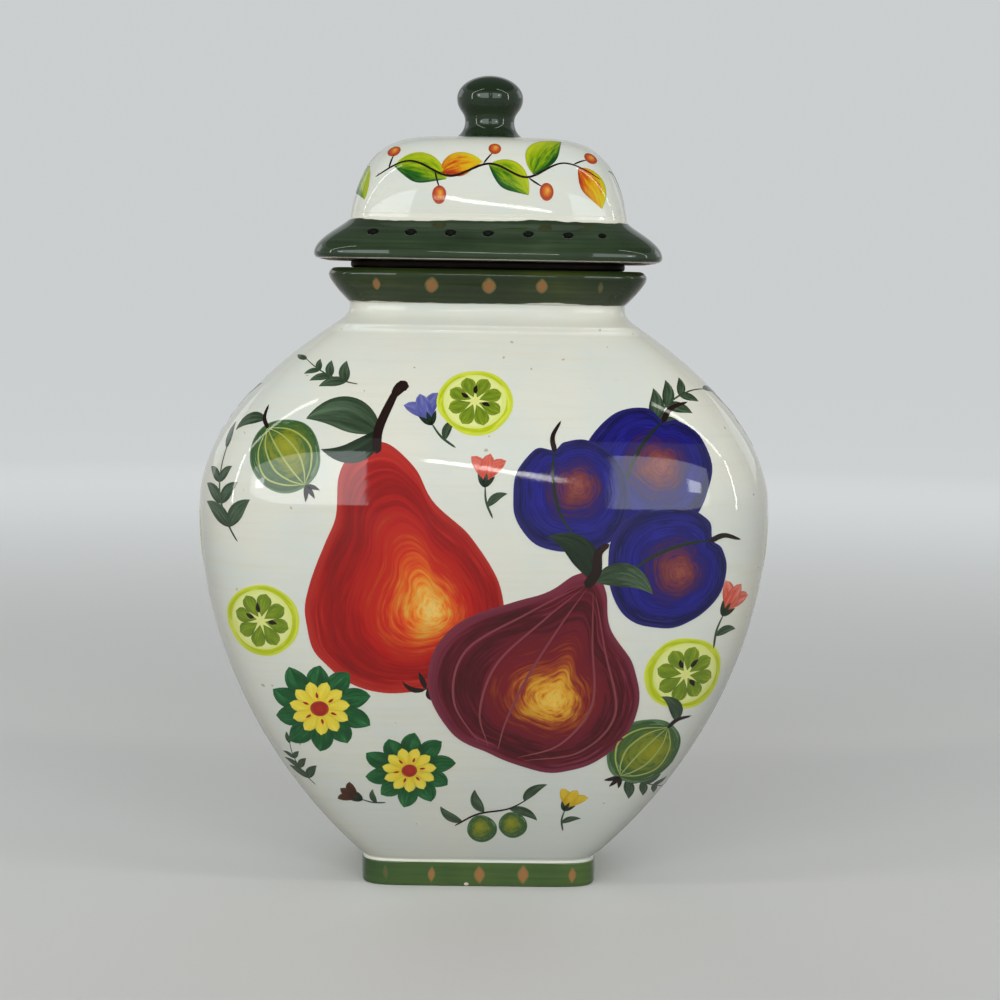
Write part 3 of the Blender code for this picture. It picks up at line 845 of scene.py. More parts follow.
def knob_rows():
    """The turned outline: fillet, flared stem, waist, ball and round top."""
    ball = KNOB_FOOT + KNOB_WAIST_RISE + KNOB_BALL_RISE
    waist = KNOB_FOOT + KNOB_WAIST_RISE + 0.0004
    stem = bezier((
        (KNOB_BASE - 0.0003, KNOB_FOOT + 0.0001), (KNOB_WAIST + 0.0014, KNOB_FOOT + 0.0012),
        (KNOB_WAIST - 0.0003, KNOB_FOOT + 0.0036), (KNOB_WAIST, waist)), 20)
    swell = bezier((
        (KNOB_WAIST, waist), (KNOB_WAIST + 0.0003, ball - 0.0048), (KNOB_BALL, ball - 0.0042),
        (KNOB_BALL, ball)), 20)[1:]
    angle = np.radians(np.linspace(0, 88, 26))[1:]
    top = np.stack([KNOB_BALL * np.cos(angle), ball + KNOB_TOP_RISE * np.sin(angle)], 1)
    foot = [(KNOB_BASE - 0.003, KNOB_FOOT - SLIP_FILLET), (KNOB_BASE - 0.0002, KNOB_FOOT - SLIP_FILLET)]
    outline = np.concatenate([foot, stem, swell, top])
    return np.stack([outline[:, 0], outline[:, 0], outline[:, 1], np.full(len(outline), 2.0)], 1)


def map_lathe(piece):
    """The band map of a turned closed skin: metres round it at the ball, and metres up."""
    data = piece.data
    corners = np.empty(len(data.loops), int)
    data.loops.foreach_get("vertex_index", corners)
    places = np.empty(len(data.vertices) * 3)
    data.vertices.foreach_get("co", places)
    places = places.reshape(-1, 3)[corners]
    angle = np.arctan2(places[:, 1], places[:, 0])
    values = np.stack([angle * KNOB_BALL, places[:, 2]], 1)
    data.uv_layers.new(name="band", do_init=False).uv.foreach_set("vector", values.ravel())
    data.uv_layers.new(name="pool_and_shade", do_init=False).uv.foreach_set("vector", np.zeros(len(corners) * 2))


knob_green = mix_green("knob_green", GREEN_DEEP, KNOB_MIDDLE, KNOB_THIN)
knob_grid = waved(rings(knob_rows(), KNOB_COUNT), KNOB_WAVE_HEIGHT, KNOB_WAVE_LENGTH)
lid_knob = closed_skin("knob_glaze", knob_grid, [knob_green])
map_lathe(lid_knob)
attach(lid_knob, "lid")
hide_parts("lid_knob")
print(f"knob_glaze: {len(lid_knob.data.polygons)} faces")

# %% [markdown]
# ## Seal
#
# A dark rubber ring is stretched round the plug. Its flat rim is squeezed between lid and jar, where
# it shows as a thin dark line, and two fins below brush the bore to keep the biscuits crisp. Moulded
# rubber has small rounded edges, a parting line and a dusty sheen. A plain band would do for the line
# that shows, but the lid lifts off, so the whole section is drawn once and led round the oblong.

# %% Mould the seal
SEAL_THICKNESS = 0.0025
SEAL_LEDGE = seal_high.x - NECK_WIDTH / 2
SEAL_DROP, SEAL_EDGE = 0.0085, 0.0006
FIN_COUNT, FIN_ROOT, FIN_TIP, FIN_PITCH = 2, 0.0014, 0.0004, 0.0034
MOULD_EDGE, LEDGE_EDGE, PARTING_LINE = 0.0003, 0.0002, 0.0001
SEAL_COUNT = 240
RUBBER, RUBBER_DUST, RUBBER_SHINE = srgb(10, 6, 2), srgb(36, 25, 14), 0.10
DUST_SCALE, RUBBER_GRAIN_SCALE, RUBBER_GRAIN = 160.0, 1400.0, 0.00002


def seal_rows():
    """A closed section: skirt, fins and flat rim, from the bottom of the skirt up and round."""
    inner = PLUG_STEP + SEAT_GAP
    skirt = inner + SEAL_SKIRT
    foot, low, top = RIM_TOP - SEAL_DROP, RIM_TOP + SEAT_GAP, RIM_TOP + SEAT_GAP + SEAL_THICKNESS
    steps = [(inner, foot), (skirt - MOULD_EDGE, foot), (skirt, foot + MOULD_EDGE)]
    for index in reversed(range(FIN_COUNT)):
        root = RIM_TOP - FIN_PITCH * (index + 0.75)
        tip = (skirt + FIN_REACH - FIN_TIP / 2, root + FIN_ROOT - FIN_TIP / 2)
        steps += [(skirt, root - MOULD_EDGE), (skirt + MOULD_EDGE, root + LEDGE_EDGE)]
        steps += list(arc(tip, FIN_TIP / 2, -60, 90, 5))
        steps += [(skirt + MOULD_EDGE, root + FIN_ROOT), (skirt, root + FIN_ROOT + MOULD_EDGE)]
    steps += [(skirt, low - LEDGE_EDGE), (skirt + LEDGE_EDGE, low)]
    steps += list(arc((SEAL_LEDGE - SEAL_EDGE, low + SEAL_EDGE), SEAL_EDGE, -90, 0, 5))
    steps += [(SEAL_LEDGE + PARTING_LINE, low + SEAL_THICKNESS / 2)]
    steps += list(arc((SEAL_LEDGE - SEAL_EDGE, top - SEAL_EDGE), SEAL_EDGE, 0, 90, 5))
    steps += [(inner, top)]
    return neck_rows(steps)


def mix_rubber():
    mix = Mix("seal_rubber")
    place = mix.place()
    dust = mix.fit(mix.noise(place, DUST_SCALE, 5.0, 0.7), 0.5, 0.8)
    grain = mix.noise(place, RUBBER_GRAIN_SCALE, 2.0)
    mix.set("Base Color", mix.blend(dust, RUBBER, RUBBER_DUST))
    mix.set("Specular IOR Level", RUBBER_SHINE)
    mix.set("Roughness", mix.fit(dust, 0.0, 1.0, 0.5, 0.75))
    mix.set("Normal", mix.relief(grain, RUBBER_GRAIN))
    return mix.material


seal_grid = rings(seal_rows(), SEAL_COUNT)
seal_faces = grid_faces(len(seal_grid), SEAL_COUNT, hoop=True)
lid_seal = new_object("seal_ring", seal_grid.reshape(-1, 3), seal_faces, [mix_rubber()])
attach(lid_seal, "lid")
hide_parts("lid_seal")
print(f"seal_ring: {len(lid_seal.data.polygons)} faces")

# %% [markdown]
# ## Painting on the glaze
#
# Fruit and leaves are brushed on by hand. One could mask them inside one huge material on the body,
# but then every fruit would share one map and lose its detail. Here each subject is a thin film of
# paint of its own. Its points are drawn flat, in millimetres, and dropped onto the skin along the
# direction that the skin faces, as a transfer is pressed on. The film borrows the skin's directions,
# so a reflection runs on over it unbroken, and each dried coat lies a hair below the next one.

# %% Find the surface under a point
LAYER = 0.000028
SPOT_FROM, PRESS_FROM = 0.3, 0.06


class Skin:
    """A glazed surface: where a line meets it, and which way it smoothly faces there."""

    def __init__(self, piece, body, slot):
        mesh = piece.data
        mesh.calc_loop_triangles()
        self.body, self.slot = body, slot
        self.points = [vertex.co.copy() for vertex in mesh.vertices]
        self.facing = [normal.vector.copy() for normal in mesh.vertex_normals]
        self.triangles = [tuple(triangle.vertices) for triangle in mesh.loop_triangles]
        self.tree = BVHTree.FromPolygons(self.points, self.triangles)

    def press(self, start, toward):
        hit, _, index, _ = self.tree.ray_cast(start, toward)
        corners = self.triangles[index]
        points, facing = [self.points[c] for c in corners], [self.facing[c] for c in corners]
        return hit, barycentric_transform(hit, *points, *facing).normalized()


print(f"coats of paint: {LAYER / MM:.3f} mm each")

# %% A place for a drawing
class Spot:
    """A place for a drawing, so many degrees round from the front. Its units are millimetres.

    The drawing is pressed on square to the skin, or along a line that leans so many degrees upward.
    """

    def __init__(self, skin, facing, across, level, turn=0.0, size=1.0, lean=None):
        angle = math.radians(facing)
        out = Vector((math.sin(angle), -math.cos(angle), 0.0))
        right = Vector((math.cos(angle), math.sin(angle), 0.0))
        start = out * SPOT_FROM + (right * across + Vector((0.0, 0.0, level))) * MM
        self.skin = skin
        self.middle, self.normal = skin.press(start, -out)
        if lean is not None:
            lean = math.radians(lean)
            self.normal = out * math.cos(lean) + Vector((0.0, 0.0, math.sin(lean)))
        self.right = (right - self.normal * right.dot(self.normal)).normalized()
        self.up = self.normal.cross(self.right)
        self.turn, self.size = math.radians(turn), size * MM

    def land(self, across, up):
        """Where a point of the drawing comes to lie, and which way the glaze faces there."""
        cos, sin = math.cos(self.turn) * self.size, math.sin(self.turn) * self.size
        right, rise = cos * across - sin * up, sin * across + cos * up
        start = self.middle + self.right * right + self.up * rise + self.normal * PRESS_FROM
        return self.skin.press(start, -self.normal)


# %% [markdown]
# ## Lines and outlines
#
# A drawing is made of two things. A blob is an outline filled in from a core, and a stroke is a line
# with a width that swells and fades as the brush is pressed and lifted. Blender's curve objects could
# hold them, but they lie flat, and these have to be pressed on point by point. Both come from a few
# points with a smooth curve led through them. A hand never draws a true curve, so outlines wander a
# little, and a running number sees to it that no two wander alike.

# %% Curves through points
HANDS, HAND_GAP, SWAY = iter(range(1, 10000)), 3.7, 0.09


def catmull(padded, places, last):
    """Points of a Catmull-Rom curve, whose padded list has one more point before and after."""
    index = np.minimum(places.astype(int), last)
    t = (places - index)[:, None]
    a, b, c, d = (padded[index + i] for i in range(4))
    square, cube = 2 * a - 5 * b + 4 * c - d, 3 * b - a - 3 * c + d
    return 0.5 * (2 * b + (c - a) * t + square * t ** 2 + cube * t ** 3)


def flow(points, count):
    """A smooth line through some points."""
    points = np.asarray(points, float)
    padded = np.concatenate([[2 * points[0] - points[1]], points, [2 * points[-1] - points[-2]]])
    return catmull(padded, np.linspace(0, len(points) - 1, count), len(points) - 2)


def loop(points, count):
    """A smooth closed line through some points."""
    points = np.asarray(points, float)
    padded = np.concatenate([points[-1:], points, points[:2]])
    return catmull(padded, np.linspace(0, len(points), count, endpoint=False), len(points) - 1)


def oval(half_width, half_height, count=40, middle=(0, 0)):
    angle = np.linspace(0, math.tau, count, endpoint=False)
    return np.stack([middle[0] + half_width * np.cos(angle), middle[1] + half_height * np.sin(angle)], 1)


def wander(outline, amount):
    """An outline as a hand draws it, off its true line by up to some millimetres."""
    outline, hand = np.asarray(outline, float), next(HANDS)
    away = outline - outline.mean(0)
    shift = [noise.noise(Vector((x * SWAY, y * SWAY, hand * HAND_GAP))) for x, y in outline]
    return outline + away / np.linalg.norm(away, axis=1)[:, None] * np.reshape(shift, (-1, 1)) * amount


def press_and_lift(count, fullest=0.45, sharp=0.8):
    """A stroke's half width along it, 1 at its fullest and nearly 0 at both ends."""
    t = np.linspace(0, 1, count)
    bent = t ** (math.log(0.5) / math.log(fullest))
    return np.maximum(np.sin(math.pi * bent) ** sharp, 0.02)


def bent_line(start, end, bend, count):
    """A line from start to end that bows to its left by a share of its length."""
    start, end = np.asarray(start, float), np.asarray(end, float)
    along = end - start
    middle = (start + end) / 2 + np.array([-along[1], along[0]]) * bend * 2
    return bezier((start, middle, end), count)


def around(count, shift=0.0):
    """Directions spread round a circle, as arrays that can be scaled."""
    angle = math.tau * (np.arange(count) + shift) / count
    return np.stack([np.cos(angle), np.sin(angle)], 1)


# %% A motif gathers films of paint
BLOB_GRAIN, STROKE_STEP, LINE_STEP, BROAD_LEAF = 1.7, 1.1, 0.9, 2


class Motif:
    """One painted subject: thin closed films that lie on the glaze, gathered in one piece."""

    def __init__(self, name, spot, layer=0):
        self.name, self.spot, self.layer = name, spot, layer
        self.points, self.faces, self.normals, self.marks, self.slots, self.paints = [], [], [], [], [], []

    def dry(self):
        """Let the paint dry, so that what follows lies on top of it."""
        self.layer += 1

    def film(self, flat, faces, border, marks, paint):
        """A closed film from flat points, their faces, the points round its border and their marks."""
        landed = [self.spot.land(*point) for point in flat]
        first, count = len(self.points), len(landed)
        lift = FILM + self.layer * LAYER
        self.points += [hit + facing * lift for hit, facing in landed]
        self.points += [hit - facing * SINK for hit, facing in landed]
        rim = [(b, a, a + count, b + count) for a, b in zip(border, border[1:] + border[:1])]
        below = [tuple(count + i for i in reversed(face)) for face in faces]
        for group, way in ((faces, 1), (rim, 1), (below, -1)):
            for face in group:
                self.faces.append(tuple(first + i for i in face))
                self.normals += [landed[i % count][1] * way for i in face]
                self.marks += [marks[i % count] for i in face]
        if paint not in self.paints:
            self.paints.append(paint)
        self.slots += [self.paints.index(paint)] * (len(faces) + len(rim) + len(below))

    def blob(self, outline, paint, core=(0, 0), grain=BLOB_GRAIN):
        """A filled patch. Its marks are 0 at the core and 1 away from it at the outline."""
        outline, core = np.asarray(outline, float), np.asarray(core, float)
        spokes = outline - core
        x, y = spokes.T
        if np.sum(x * np.roll(y, -1) - y * np.roll(x, -1)) < 0:
            spokes = spokes[::-1]
        count, reach = len(spokes), np.linalg.norm(spokes, axis=1)[:, None]
        ways = spokes / reach
        shares = np.linspace(0, 1, max(3, int(reach.max() / grain)) + 1)[1:]
        flat = [core] + [core + spoke * share for share in shares for spoke in spokes]
        marks = [(0.0, 0.0)] + [tuple(way * share) for share in shares for way in ways]
        faces = [(0, 1 + i, 1 + (i + 1) % count) for i in range(count)]
        for row in range(len(shares) - 1):
            low, high = 1 + row * count, 1 + (row + 1) * count
            for i in range(count):
                after = (i + 1) % count
                faces.append((low + i, high + i, high + after, low + after))
        border = [1 + (len(shares) - 1) * count + i for i in range(count)]
        self.film(flat, faces, border, marks, paint)

    def stroke(self, line, half_widths, paint, columns=4):
        """A stroke of the brush. Its marks run from 0 to 1 along it and from -1 to 1 across."""
        line = np.asarray(line, float)
        heading = np.gradient(line, axis=0)
        heading /= np.linalg.norm(heading, axis=1)[:, None]
        side = np.stack([-heading[:, 1], heading[:, 0]], 1) * np.asarray(half_widths)[:, None]
        flat, marks, faces = [], [], []
        for row, (point, reach) in enumerate(zip(line, side)):
            for column in range(columns + 1):
                across = 2 * column / columns - 1
                flat.append(point + reach * across)
                marks.append((row / (len(line) - 1), across))
        wide = columns + 1
        for row in range(len(line) - 1):
            for column in range(columns):
                a = row * wide + column
                faces.append((a, a + wide, a + wide + 1, a + 1))
        last = (len(line) - 1) * wide
        left = [row * wide for row in range(len(line))]
        right = [row * wide + columns for row in reversed(range(len(line) - 1))]
        border = left + [last + c for c in range(1, wide)] + right + list(reversed(range(1, columns)))
        self.film(flat, faces, border, marks, paint)

    def leaf(self, start, tip, half_width, bend, paint, fullest=0.42, sharp=0.85):
        """One press of the brush, from its start to its tip."""
        count = max(9, int(math.dist(start, tip) / STROKE_STEP))
        widths = half_width * press_and_lift(count, fullest, sharp)
        columns = 6 if half_width > BROAD_LEAF else 4
        self.stroke(bent_line(start, tip, bend, count), widths, paint, columns)

    def line(self, points, half_width, paint, fullest=0.35, sharp=0.5):
        """A thin line led through some points."""
        points = np.asarray(points, float)
        length = np.linalg.norm(np.diff(points, axis=0), axis=1).sum()
        count = max(8, int(length / LINE_STEP))
        widths = half_width * press_and_lift(count, fullest, sharp)
        self.stroke(flow(points, count), widths, paint, 2)

    def finish(self):
        """Make the piece, which faces as the glaze below it does, and let it ride on its body."""
        piece = new_object(self.name, self.points, self.faces, self.paints, self.slots)
        layer = piece.data.uv_layers.new(name="brush", do_init=False)
        layer.uv.foreach_set("vector", np.asarray(self.marks, float).ravel())
        piece.data.normals_split_custom_set([tuple(n) for n in self.normals])
        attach(piece, self.spot.skin.body)
        return piece


# %% [markdown]
# ## Paints
#
# Underglaze paint is thin, so every stroke of the brush stays visible. It could be painted as an image
# on each film, but two recipes of noise serve for all the colours, at any closeness. On fruit the
# brush goes round and round the form, from a glowing core that lies off the middle to a deep rim. The
# film's map says how far out a point lies and in which direction, and a noise that is fine outward
# and coarse round the form draws the rounds. On leaves and petals the brush goes from base to tip, so
# there the noise is fine across and long along the stroke. All paints share the gloss of the clear
# glaze over them. A paint's colours are given as stops of (place, red, green, blue), in screen bytes.

# %% Fruit paint, laid in rounds
PAINT_RELIEF = 0.000006
ROUND_TURNS, ROUND_DRIFT, FINE_ROUNDS, FINE_SHIFT = 1.3, 6.0, 3.4, 7.0


def colors(stops):
    """The stops of a paint as a ramp takes them."""
    return [(place, srgb(*color)) for place, *color in stops]


def mix_fruit(name, stops, streak=0.22, rounds=9.0, shade=0.16):
    """Colours run through the stops from the core to the outline."""
    mix = Mix(name)
    mark = mix.map("brush")
    reach = mix.vector("LENGTH", mark, output=1)
    way = mix.vector("MULTIPLY", mix.vector("NORMALIZE", mark), (ROUND_TURNS, ROUND_TURNS, 0.0))
    way = mix.vector("ADD", way, mix.vector("MULTIPLY", mix.place(), [ROUND_DRIFT] * 3))
    out = mix.join(0.0, 0.0, mix.times(reach, rounds))
    far_out = mix.join(FINE_SHIFT, 0.0, mix.times(reach, rounds * FINE_ROUNDS))
    wide = mix.noise(mix.vector("ADD", way, out), 1.0, 2.0, 0.5)
    fine = mix.noise(mix.vector("ADD", way, far_out), 1.0, 3.0, 0.6)
    wide_sway = mix.times(mix.minus(wide, 0.5), streak * 1.2)
    fine_sway = mix.times(mix.minus(fine, 0.5), streak * 2.2)
    kept = mix.fit(reach, 0.98, 0.86)
    color = mix.ramp(mix.plus(reach, mix.times(mix.plus(wide_sway, fine_sway), kept)), colors(stops))
    light = mix.plus(mix.times(fine, shade * 2), mix.times(wide, shade * 1.4))
    color = mix.tone(color, mix.plus(light, 1 - shade * 1.7))
    return mix.glaze(color, relief=fine, distance=PAINT_RELIEF)


# %% Brushed paint, laid from base to tip
BRISTLES, STROKE_WAVES, STROKE_DRIFT, EDGE_SHARPNESS = 6.0, 1.6, 25.0, 5.0


def mix_brushed(name, stops, along=0.6, sway=0.7, edge=0.25, slant=0.0):
    """Colours run along the stroke, or aslant it, ragged by the bristles and deeper at the edge."""
    mix = Mix(name)
    mark = mix.map("brush")
    t, across = mix.part(mark, "X"), mix.part(mark, "Y")
    at = mix.join(mix.times(t, STROKE_WAVES), mix.times(across, BRISTLES / 2))
    at = mix.vector("ADD", at, mix.vector("MULTIPLY", mix.place(), [STROKE_DRIFT] * 3))
    hair = mix.noise(at, 1.0, 4.0, 0.62)
    place = mix.plus(mix.times(t, along), mix.times(mix.minus(hair, 0.5), sway * 2))
    place = mix.plus(place, mix.times(across, slant))
    color = mix.ramp(mix.plus(place, (1 - along) / 2), colors(stops))
    pooled = mix.math("POWER", mix.math("ABSOLUTE", across), EDGE_SHARPNESS)
    color = mix.tone(color, mix.minus(1.0, mix.times(pooled, edge)))
    return mix.glaze(color, relief=hair, distance=PAINT_RELIEF)


# %% Mix the fruit paints
RED = mix_fruit("red_paint", [
    (0.00, 238, 196, 104), (0.15, 230, 150, 46), (0.31, 214, 84, 20), (0.46, 186, 34, 10),
    (0.60, 176, 16, 8), (0.74, 138, 4, 2), (0.90, 160, 12, 6), (1.0, 176, 40, 30)], streak=0.30, shade=0.34)
WINE = mix_fruit("wine_paint", [
    (0.00, 236, 194, 84), (0.16, 218, 150, 34), (0.31, 158, 66, 26), (0.46, 112, 18, 24),
    (0.60, 104, 16, 34), (0.74, 66, 3, 12), (0.90, 94, 12, 30), (1.0, 118, 44, 62)],
    streak=0.30, shade=0.36)
BLUE = mix_fruit("blue_paint", [
    (0.00, 142, 74, 62), (0.20, 108, 44, 56), (0.40, 52, 26, 84), (0.58, 20, 16, 104), (0.74, 30, 26, 122),
    (0.90, 10, 8, 62), (1.0, 36, 32, 104)], streak=0.30, shade=0.40)
LIME = mix_fruit("lime_paint", [
    (0.00, 176, 186, 30), (0.55, 192, 200, 22), (0.85, 178, 190, 10), (1.0, 206, 212, 70)],
    streak=0.5, rounds=5.0, shade=0.16)
PITH = mix_fruit("pith_paint", [
    (0.00, 220, 220, 130), (0.80, 224, 226, 150), (1.0, 214, 220, 120)], streak=0.5, rounds=5.0, shade=0.05)
OLIVE = mix_fruit("olive_paint", [
    (0.00, 150, 150, 30), (0.38, 122, 130, 30), (0.62, 74, 102, 44), (0.94, 50, 82, 44),
    (1.0, 100, 126, 88)], streak=0.6, rounds=4.0, shade=0.30)
HIP = mix_fruit("hip_paint", [
    (0.00, 228, 168, 60), (0.45, 204, 104, 34), (0.85, 158, 46, 22), (1.0, 176, 84, 50)],
    streak=0.3, rounds=4.0)
BRICK = mix_fruit("brick_paint", [
    (0.00, 176, 44, 26), (0.75, 160, 32, 20), (1.0, 176, 70, 50)], streak=0.3, rounds=3.0)
print(f"red_paint: {len(RED.node_tree.nodes)} nodes, as in each paint for fruit")

# %% Mix the leaf and petal paints
LEAF = mix_brushed("leaf_paint", [
    (0.0, 28, 42, 26), (0.45, 52, 70, 48), (0.8, 80, 100, 76), (1.0, 116, 134, 108)], along=0.25, sway=0.9)
DARK_LEAF = mix_brushed("dark_leaf_paint", [
    (0.0, 10, 22, 12), (0.5, 24, 42, 24), (1.0, 54, 76, 48)], along=0.2)
EMERALD = mix_brushed("emerald_paint", [
    (0.0, 6, 50, 24), (0.5, 18, 82, 38), (0.85, 42, 112, 60), (1.0, 90, 144, 98)], along=0.3, sway=0.9)
GREEN_WASH = mix_brushed("green_wash", [
    (0.0, 84, 112, 22), (0.5, 112, 136, 24), (1.0, 158, 172, 36)], along=0.2, sway=1.0)
INK = mix_brushed("ink_paint", [
    (0.0, 16, 5, 3), (0.6, 32, 13, 7), (1.0, 64, 38, 24)], along=0.3, sway=0.5, edge=0.1)
VEIN = mix_brushed("vein_paint", [
    (0.0, 112, 38, 50), (0.5, 126, 54, 62), (1.0, 160, 96, 88)], along=0.4, edge=0.0)
PALE_VEIN = mix_brushed("pale_vein_paint", [
    (0.0, 144, 154, 70), (0.5, 162, 170, 86), (1.0, 180, 186, 110)], along=0.4, edge=0.0)
SUN = mix_brushed("sun_petal_paint", [
    (0.0, 214, 166, 24), (0.4, 234, 206, 50), (1.0, 242, 226, 96)], along=0.4)
VIOLET = mix_brushed("violet_petal_paint", [
    (0.0, 58, 58, 128), (0.5, 90, 92, 158), (1.0, 140, 142, 188)], along=0.3)
CORAL = mix_brushed("coral_petal_paint", [
    (0.0, 188, 44, 32), (0.5, 206, 84, 66), (1.0, 228, 150, 130)], along=0.3)
AMBER = mix_brushed("amber_petal_paint", [
    (0.0, 188, 138, 6), (0.5, 216, 176, 24), (1.0, 230, 206, 84)], along=0.3)
UMBER = mix_brushed("umber_petal_paint", [
    (0.0, 34, 10, 3), (0.5, 62, 28, 10), (1.0, 104, 62, 34)], along=0.3)
LIME_LEAF = mix_brushed("lime_leaf_paint", [
    (0.0, 10, 66, 24), (0.26, 44, 106, 14), (0.55, 138, 164, 4), (1.0, 188, 196, 26)],
    along=0.25, sway=0.8, slant=0.42)
FLAME_LEAF = mix_brushed("flame_leaf_paint", [
    (0.0, 146, 24, 12), (0.30, 196, 80, 14), (0.6, 216, 164, 14), (1.0, 196, 202, 30)],
    along=0.55, sway=0.8, slant=0.20)
print(f"paints: {len(bpy.data.materials)} materials so far")

# %% [markdown]
# ## Fruit
#
# The large fruit carry the design. Each is an outline of a dozen points or so, a core off its middle
# where the light seems to fall, and a stem in brown-black. Pear and fig have a pair of leaves too. A
# picture of each could be traced, but a few points in millimetres are easy to move and never blur.
# They are fruit of an orchard in general: pears, figs, plums, citrus slices, gooseberries and olives.

# %% Large fruit
def draw_pear(name, spot, layer):
    """A pear with two leaves, a bent stem and its dried flower below."""
    fruit = Motif(name, spot, layer)
    fruit.leaf((4, 44), (-18, 53), 5.2, -0.16, LEAF)
    fruit.blob(wander(loop([
        (1, -41), (17, -38), (29, -26), (32, -10), (26, 6), (17, 19), (13, 31), (6, 40), (-3, 41),
        (-11, 34), (-15, 21), (-24, 9), (-31, -6), (-31, -22), (-18, -37)], 150), 0.9), RED, (9, -15))
    fruit.dry()
    fruit.leaf((5, 45), (-15, 43), 3.4, 0.2, DARK_LEAF)
    fruit.dry()
    fruit.line([(2, 38), (4, 45), (10, 53), (13, 56)], 1.5, INK, 0.2, 0.3)
    fruit.line([(10, 53.5), (13.5, 56), (16, 55.5)], 1.7, INK, 0.5, 0.4)
    for end, bend in (((-6, -36), 0.2), ((0, -34), 0.0), ((7, -36), -0.2)):
        fruit.leaf((1, -40.5), end, 0.9, bend, INK)
    fruit.line([(2, -40), (1, -43), (2.5, -45)], 0.6, INK)
    return fruit.finish()


def draw_fig(name, spot, layer):
    """A fig with five fine veins, two leaves and a stem."""
    fruit = Motif(name, spot, layer)
    fruit.blob(wander(loop([
        (0, -34), (20, -31), (33, -17), (35, 1), (26, 16), (13, 25), (7, 35), (1, 40), (-5, 36), (-11, 26),
        (-25, 15), (-35, 0), (-33, -18), (-19, -31)], 150), 0.9), WINE, (8, -6))
    fruit.dry()
    for bow in (-0.80, -0.46, -0.12, 0.60, 0.86):
        line = [(1 + bow * 3, 34), (bow * 17, 18), (bow * 33, -2), (bow * 28, -20), (bow * 10, -31)]
        fruit.line(line, 0.42, VEIN, 0.5, 0.6)
    fruit.leaf((1, 37), (-18, 44), 4.4, -0.2, DARK_LEAF)
    fruit.leaf((2, 37), (21, 41), 4.0, 0.22, LEAF)
    fruit.dry()
    fruit.line([(0, 34), (1, 40), (-1, 46), (1, 50)], 1.7, INK, 0.25, 0.35)
    return fruit.finish()


def draw_plum(name, spot, layer):
    """A plum with its seam and a short stem."""
    fruit = Motif(name, spot, layer)
    fruit.blob(wander(loop([
        (0, -22), (13, -19), (21.5, -7), (21, 8), (13, 18.5), (4, 21), (-1, 19), (-8, 21), (-18, 14),
        (-23, 0), (-18, -14)], 96), 0.7), BLUE, (4, 4))
    fruit.dry()
    fruit.line([(-1, 19), (-5, 8), (-6, -6), (-2, -18)], 0.6, DARK_LEAF, 0.4, 0.7)
    fruit.line([(-1, 18), (0, 24), (5, 29)], 1.0, INK, 0.2, 0.4)
    return fruit.finish()


# %% Small fruit
def draw_citrus(name, spot, layer):
    """A slice of citrus: rind, pith, eight segments and three pips."""
    fruit = Motif(name, spot, layer)
    fruit.blob(wander(oval(13.6, 13.0, 56), 1.0), LIME)
    fruit.dry()
    fruit.blob(wander(oval(11.4, 10.8, 48), 0.5), PITH)
    fruit.dry()
    for way in around(8, 0.3):
        fruit.leaf(way * 1.6, way * 10.0, 2.7, 0.03, GREEN_WASH, 0.66, 0.6)
    fruit.dry()
    for tip in ((-4.6, 3.8), (5.2, -2.6), (1.2, 6.4)):
        fruit.leaf(np.multiply(tip, 0.45), tip, 0.8, 0.1, INK)
    return fruit.finish()


def draw_gooseberry(name, spot, layer):
    """A veined gooseberry with a leaf, a stem and its dried flower below."""
    fruit = Motif(name, spot, layer)
    fruit.leaf((1, 17), (-11, 22), 2.6, -0.2, LEAF)
    fruit.blob(wander(oval(13.6, 15.0, 60), 0.9), OLIVE, (3, 3))
    fruit.dry()
    for bow in (-0.95, -0.55, -0.1, 0.4, 0.85):
        line = [(0, 13.6), (bow * 8.5, 7), (bow * 11.5, -2), (bow * 7, -9), (0, -13.6)]
        fruit.line(line, 0.34, PALE_VEIN, 0.5)
    fruit.dry()
    for end in ((-3.4, -19), (0.2, -20), (3.6, -18.5)):
        fruit.leaf((0, -14), end, 0.9, 0.05, INK)
    fruit.line([(0, 13), (1, 18), (5, 22)], 0.8, INK, 0.25, 0.4)
    return fruit.finish()


def draw_olives(name, spot, layer):
    """A twig with four leaves and two olives."""
    twig = Motif(name, spot, layer)
    leaves = (((-13, -4), (-22, 6), 2.3), ((-3, 1), (-6, 14), 2.5), ((8, 2), (20, -6), 2.4),
              ((15, 6), (26, 14), 2.3))
    for start, tip, width in leaves:
        twig.leaf(start, tip, width, 0.12, LEAF)
    twig.blob(wander(oval(6.6, 8.6, 40, (-5, -9)), 0.8), OLIVE, (-6, -7))
    twig.blob(wander(oval(6.2, 8.0, 40, (9, -8)), 0.8), OLIVE, (8, -6))
    twig.dry()
    twig.line([(-17, -6), (-6, 0), (8, 2), (19, 8)], 0.5, INK)
    return twig.finish()


# %% [markdown]
# ## Flowers and sprigs
#
# Between the fruit the painter fills in with quick marks: daisies in a green wreath, buds whose petals
# are one press of the brush each, and sprigs whose leaves shrink towards the tip. A particle system
# could scatter them, but a painter sets each where it fills a gap, so each is drawn by itself.

# %% Flowers and leaves
def draw_daisy(name, spot, layer):
    """A daisy on a wreath of green leaves."""
    flower = Motif(name, spot, layer)
    for index, way in enumerate(around(10, 0.2)):
        flower.leaf(way * 6, way * (18.4 - index % 3), 4.0, 0.07, EMERALD, 0.5, 0.7)
    flower.dry()
    for way in around(11):
        flower.leaf(way * 1.5, way * 10.6, 2.3, 0.04, SUN, 0.62, 0.6)
    flower.dry()
    flower.blob(wander(oval(3.1, 2.9, 24), 0.5), BRICK, (0, 0), 0.9)
    for way in around(6, 0.5):
        flower.leaf(way * 4.0, way * 6.4, 0.5, 0.0, BRICK)
    return flower.finish()


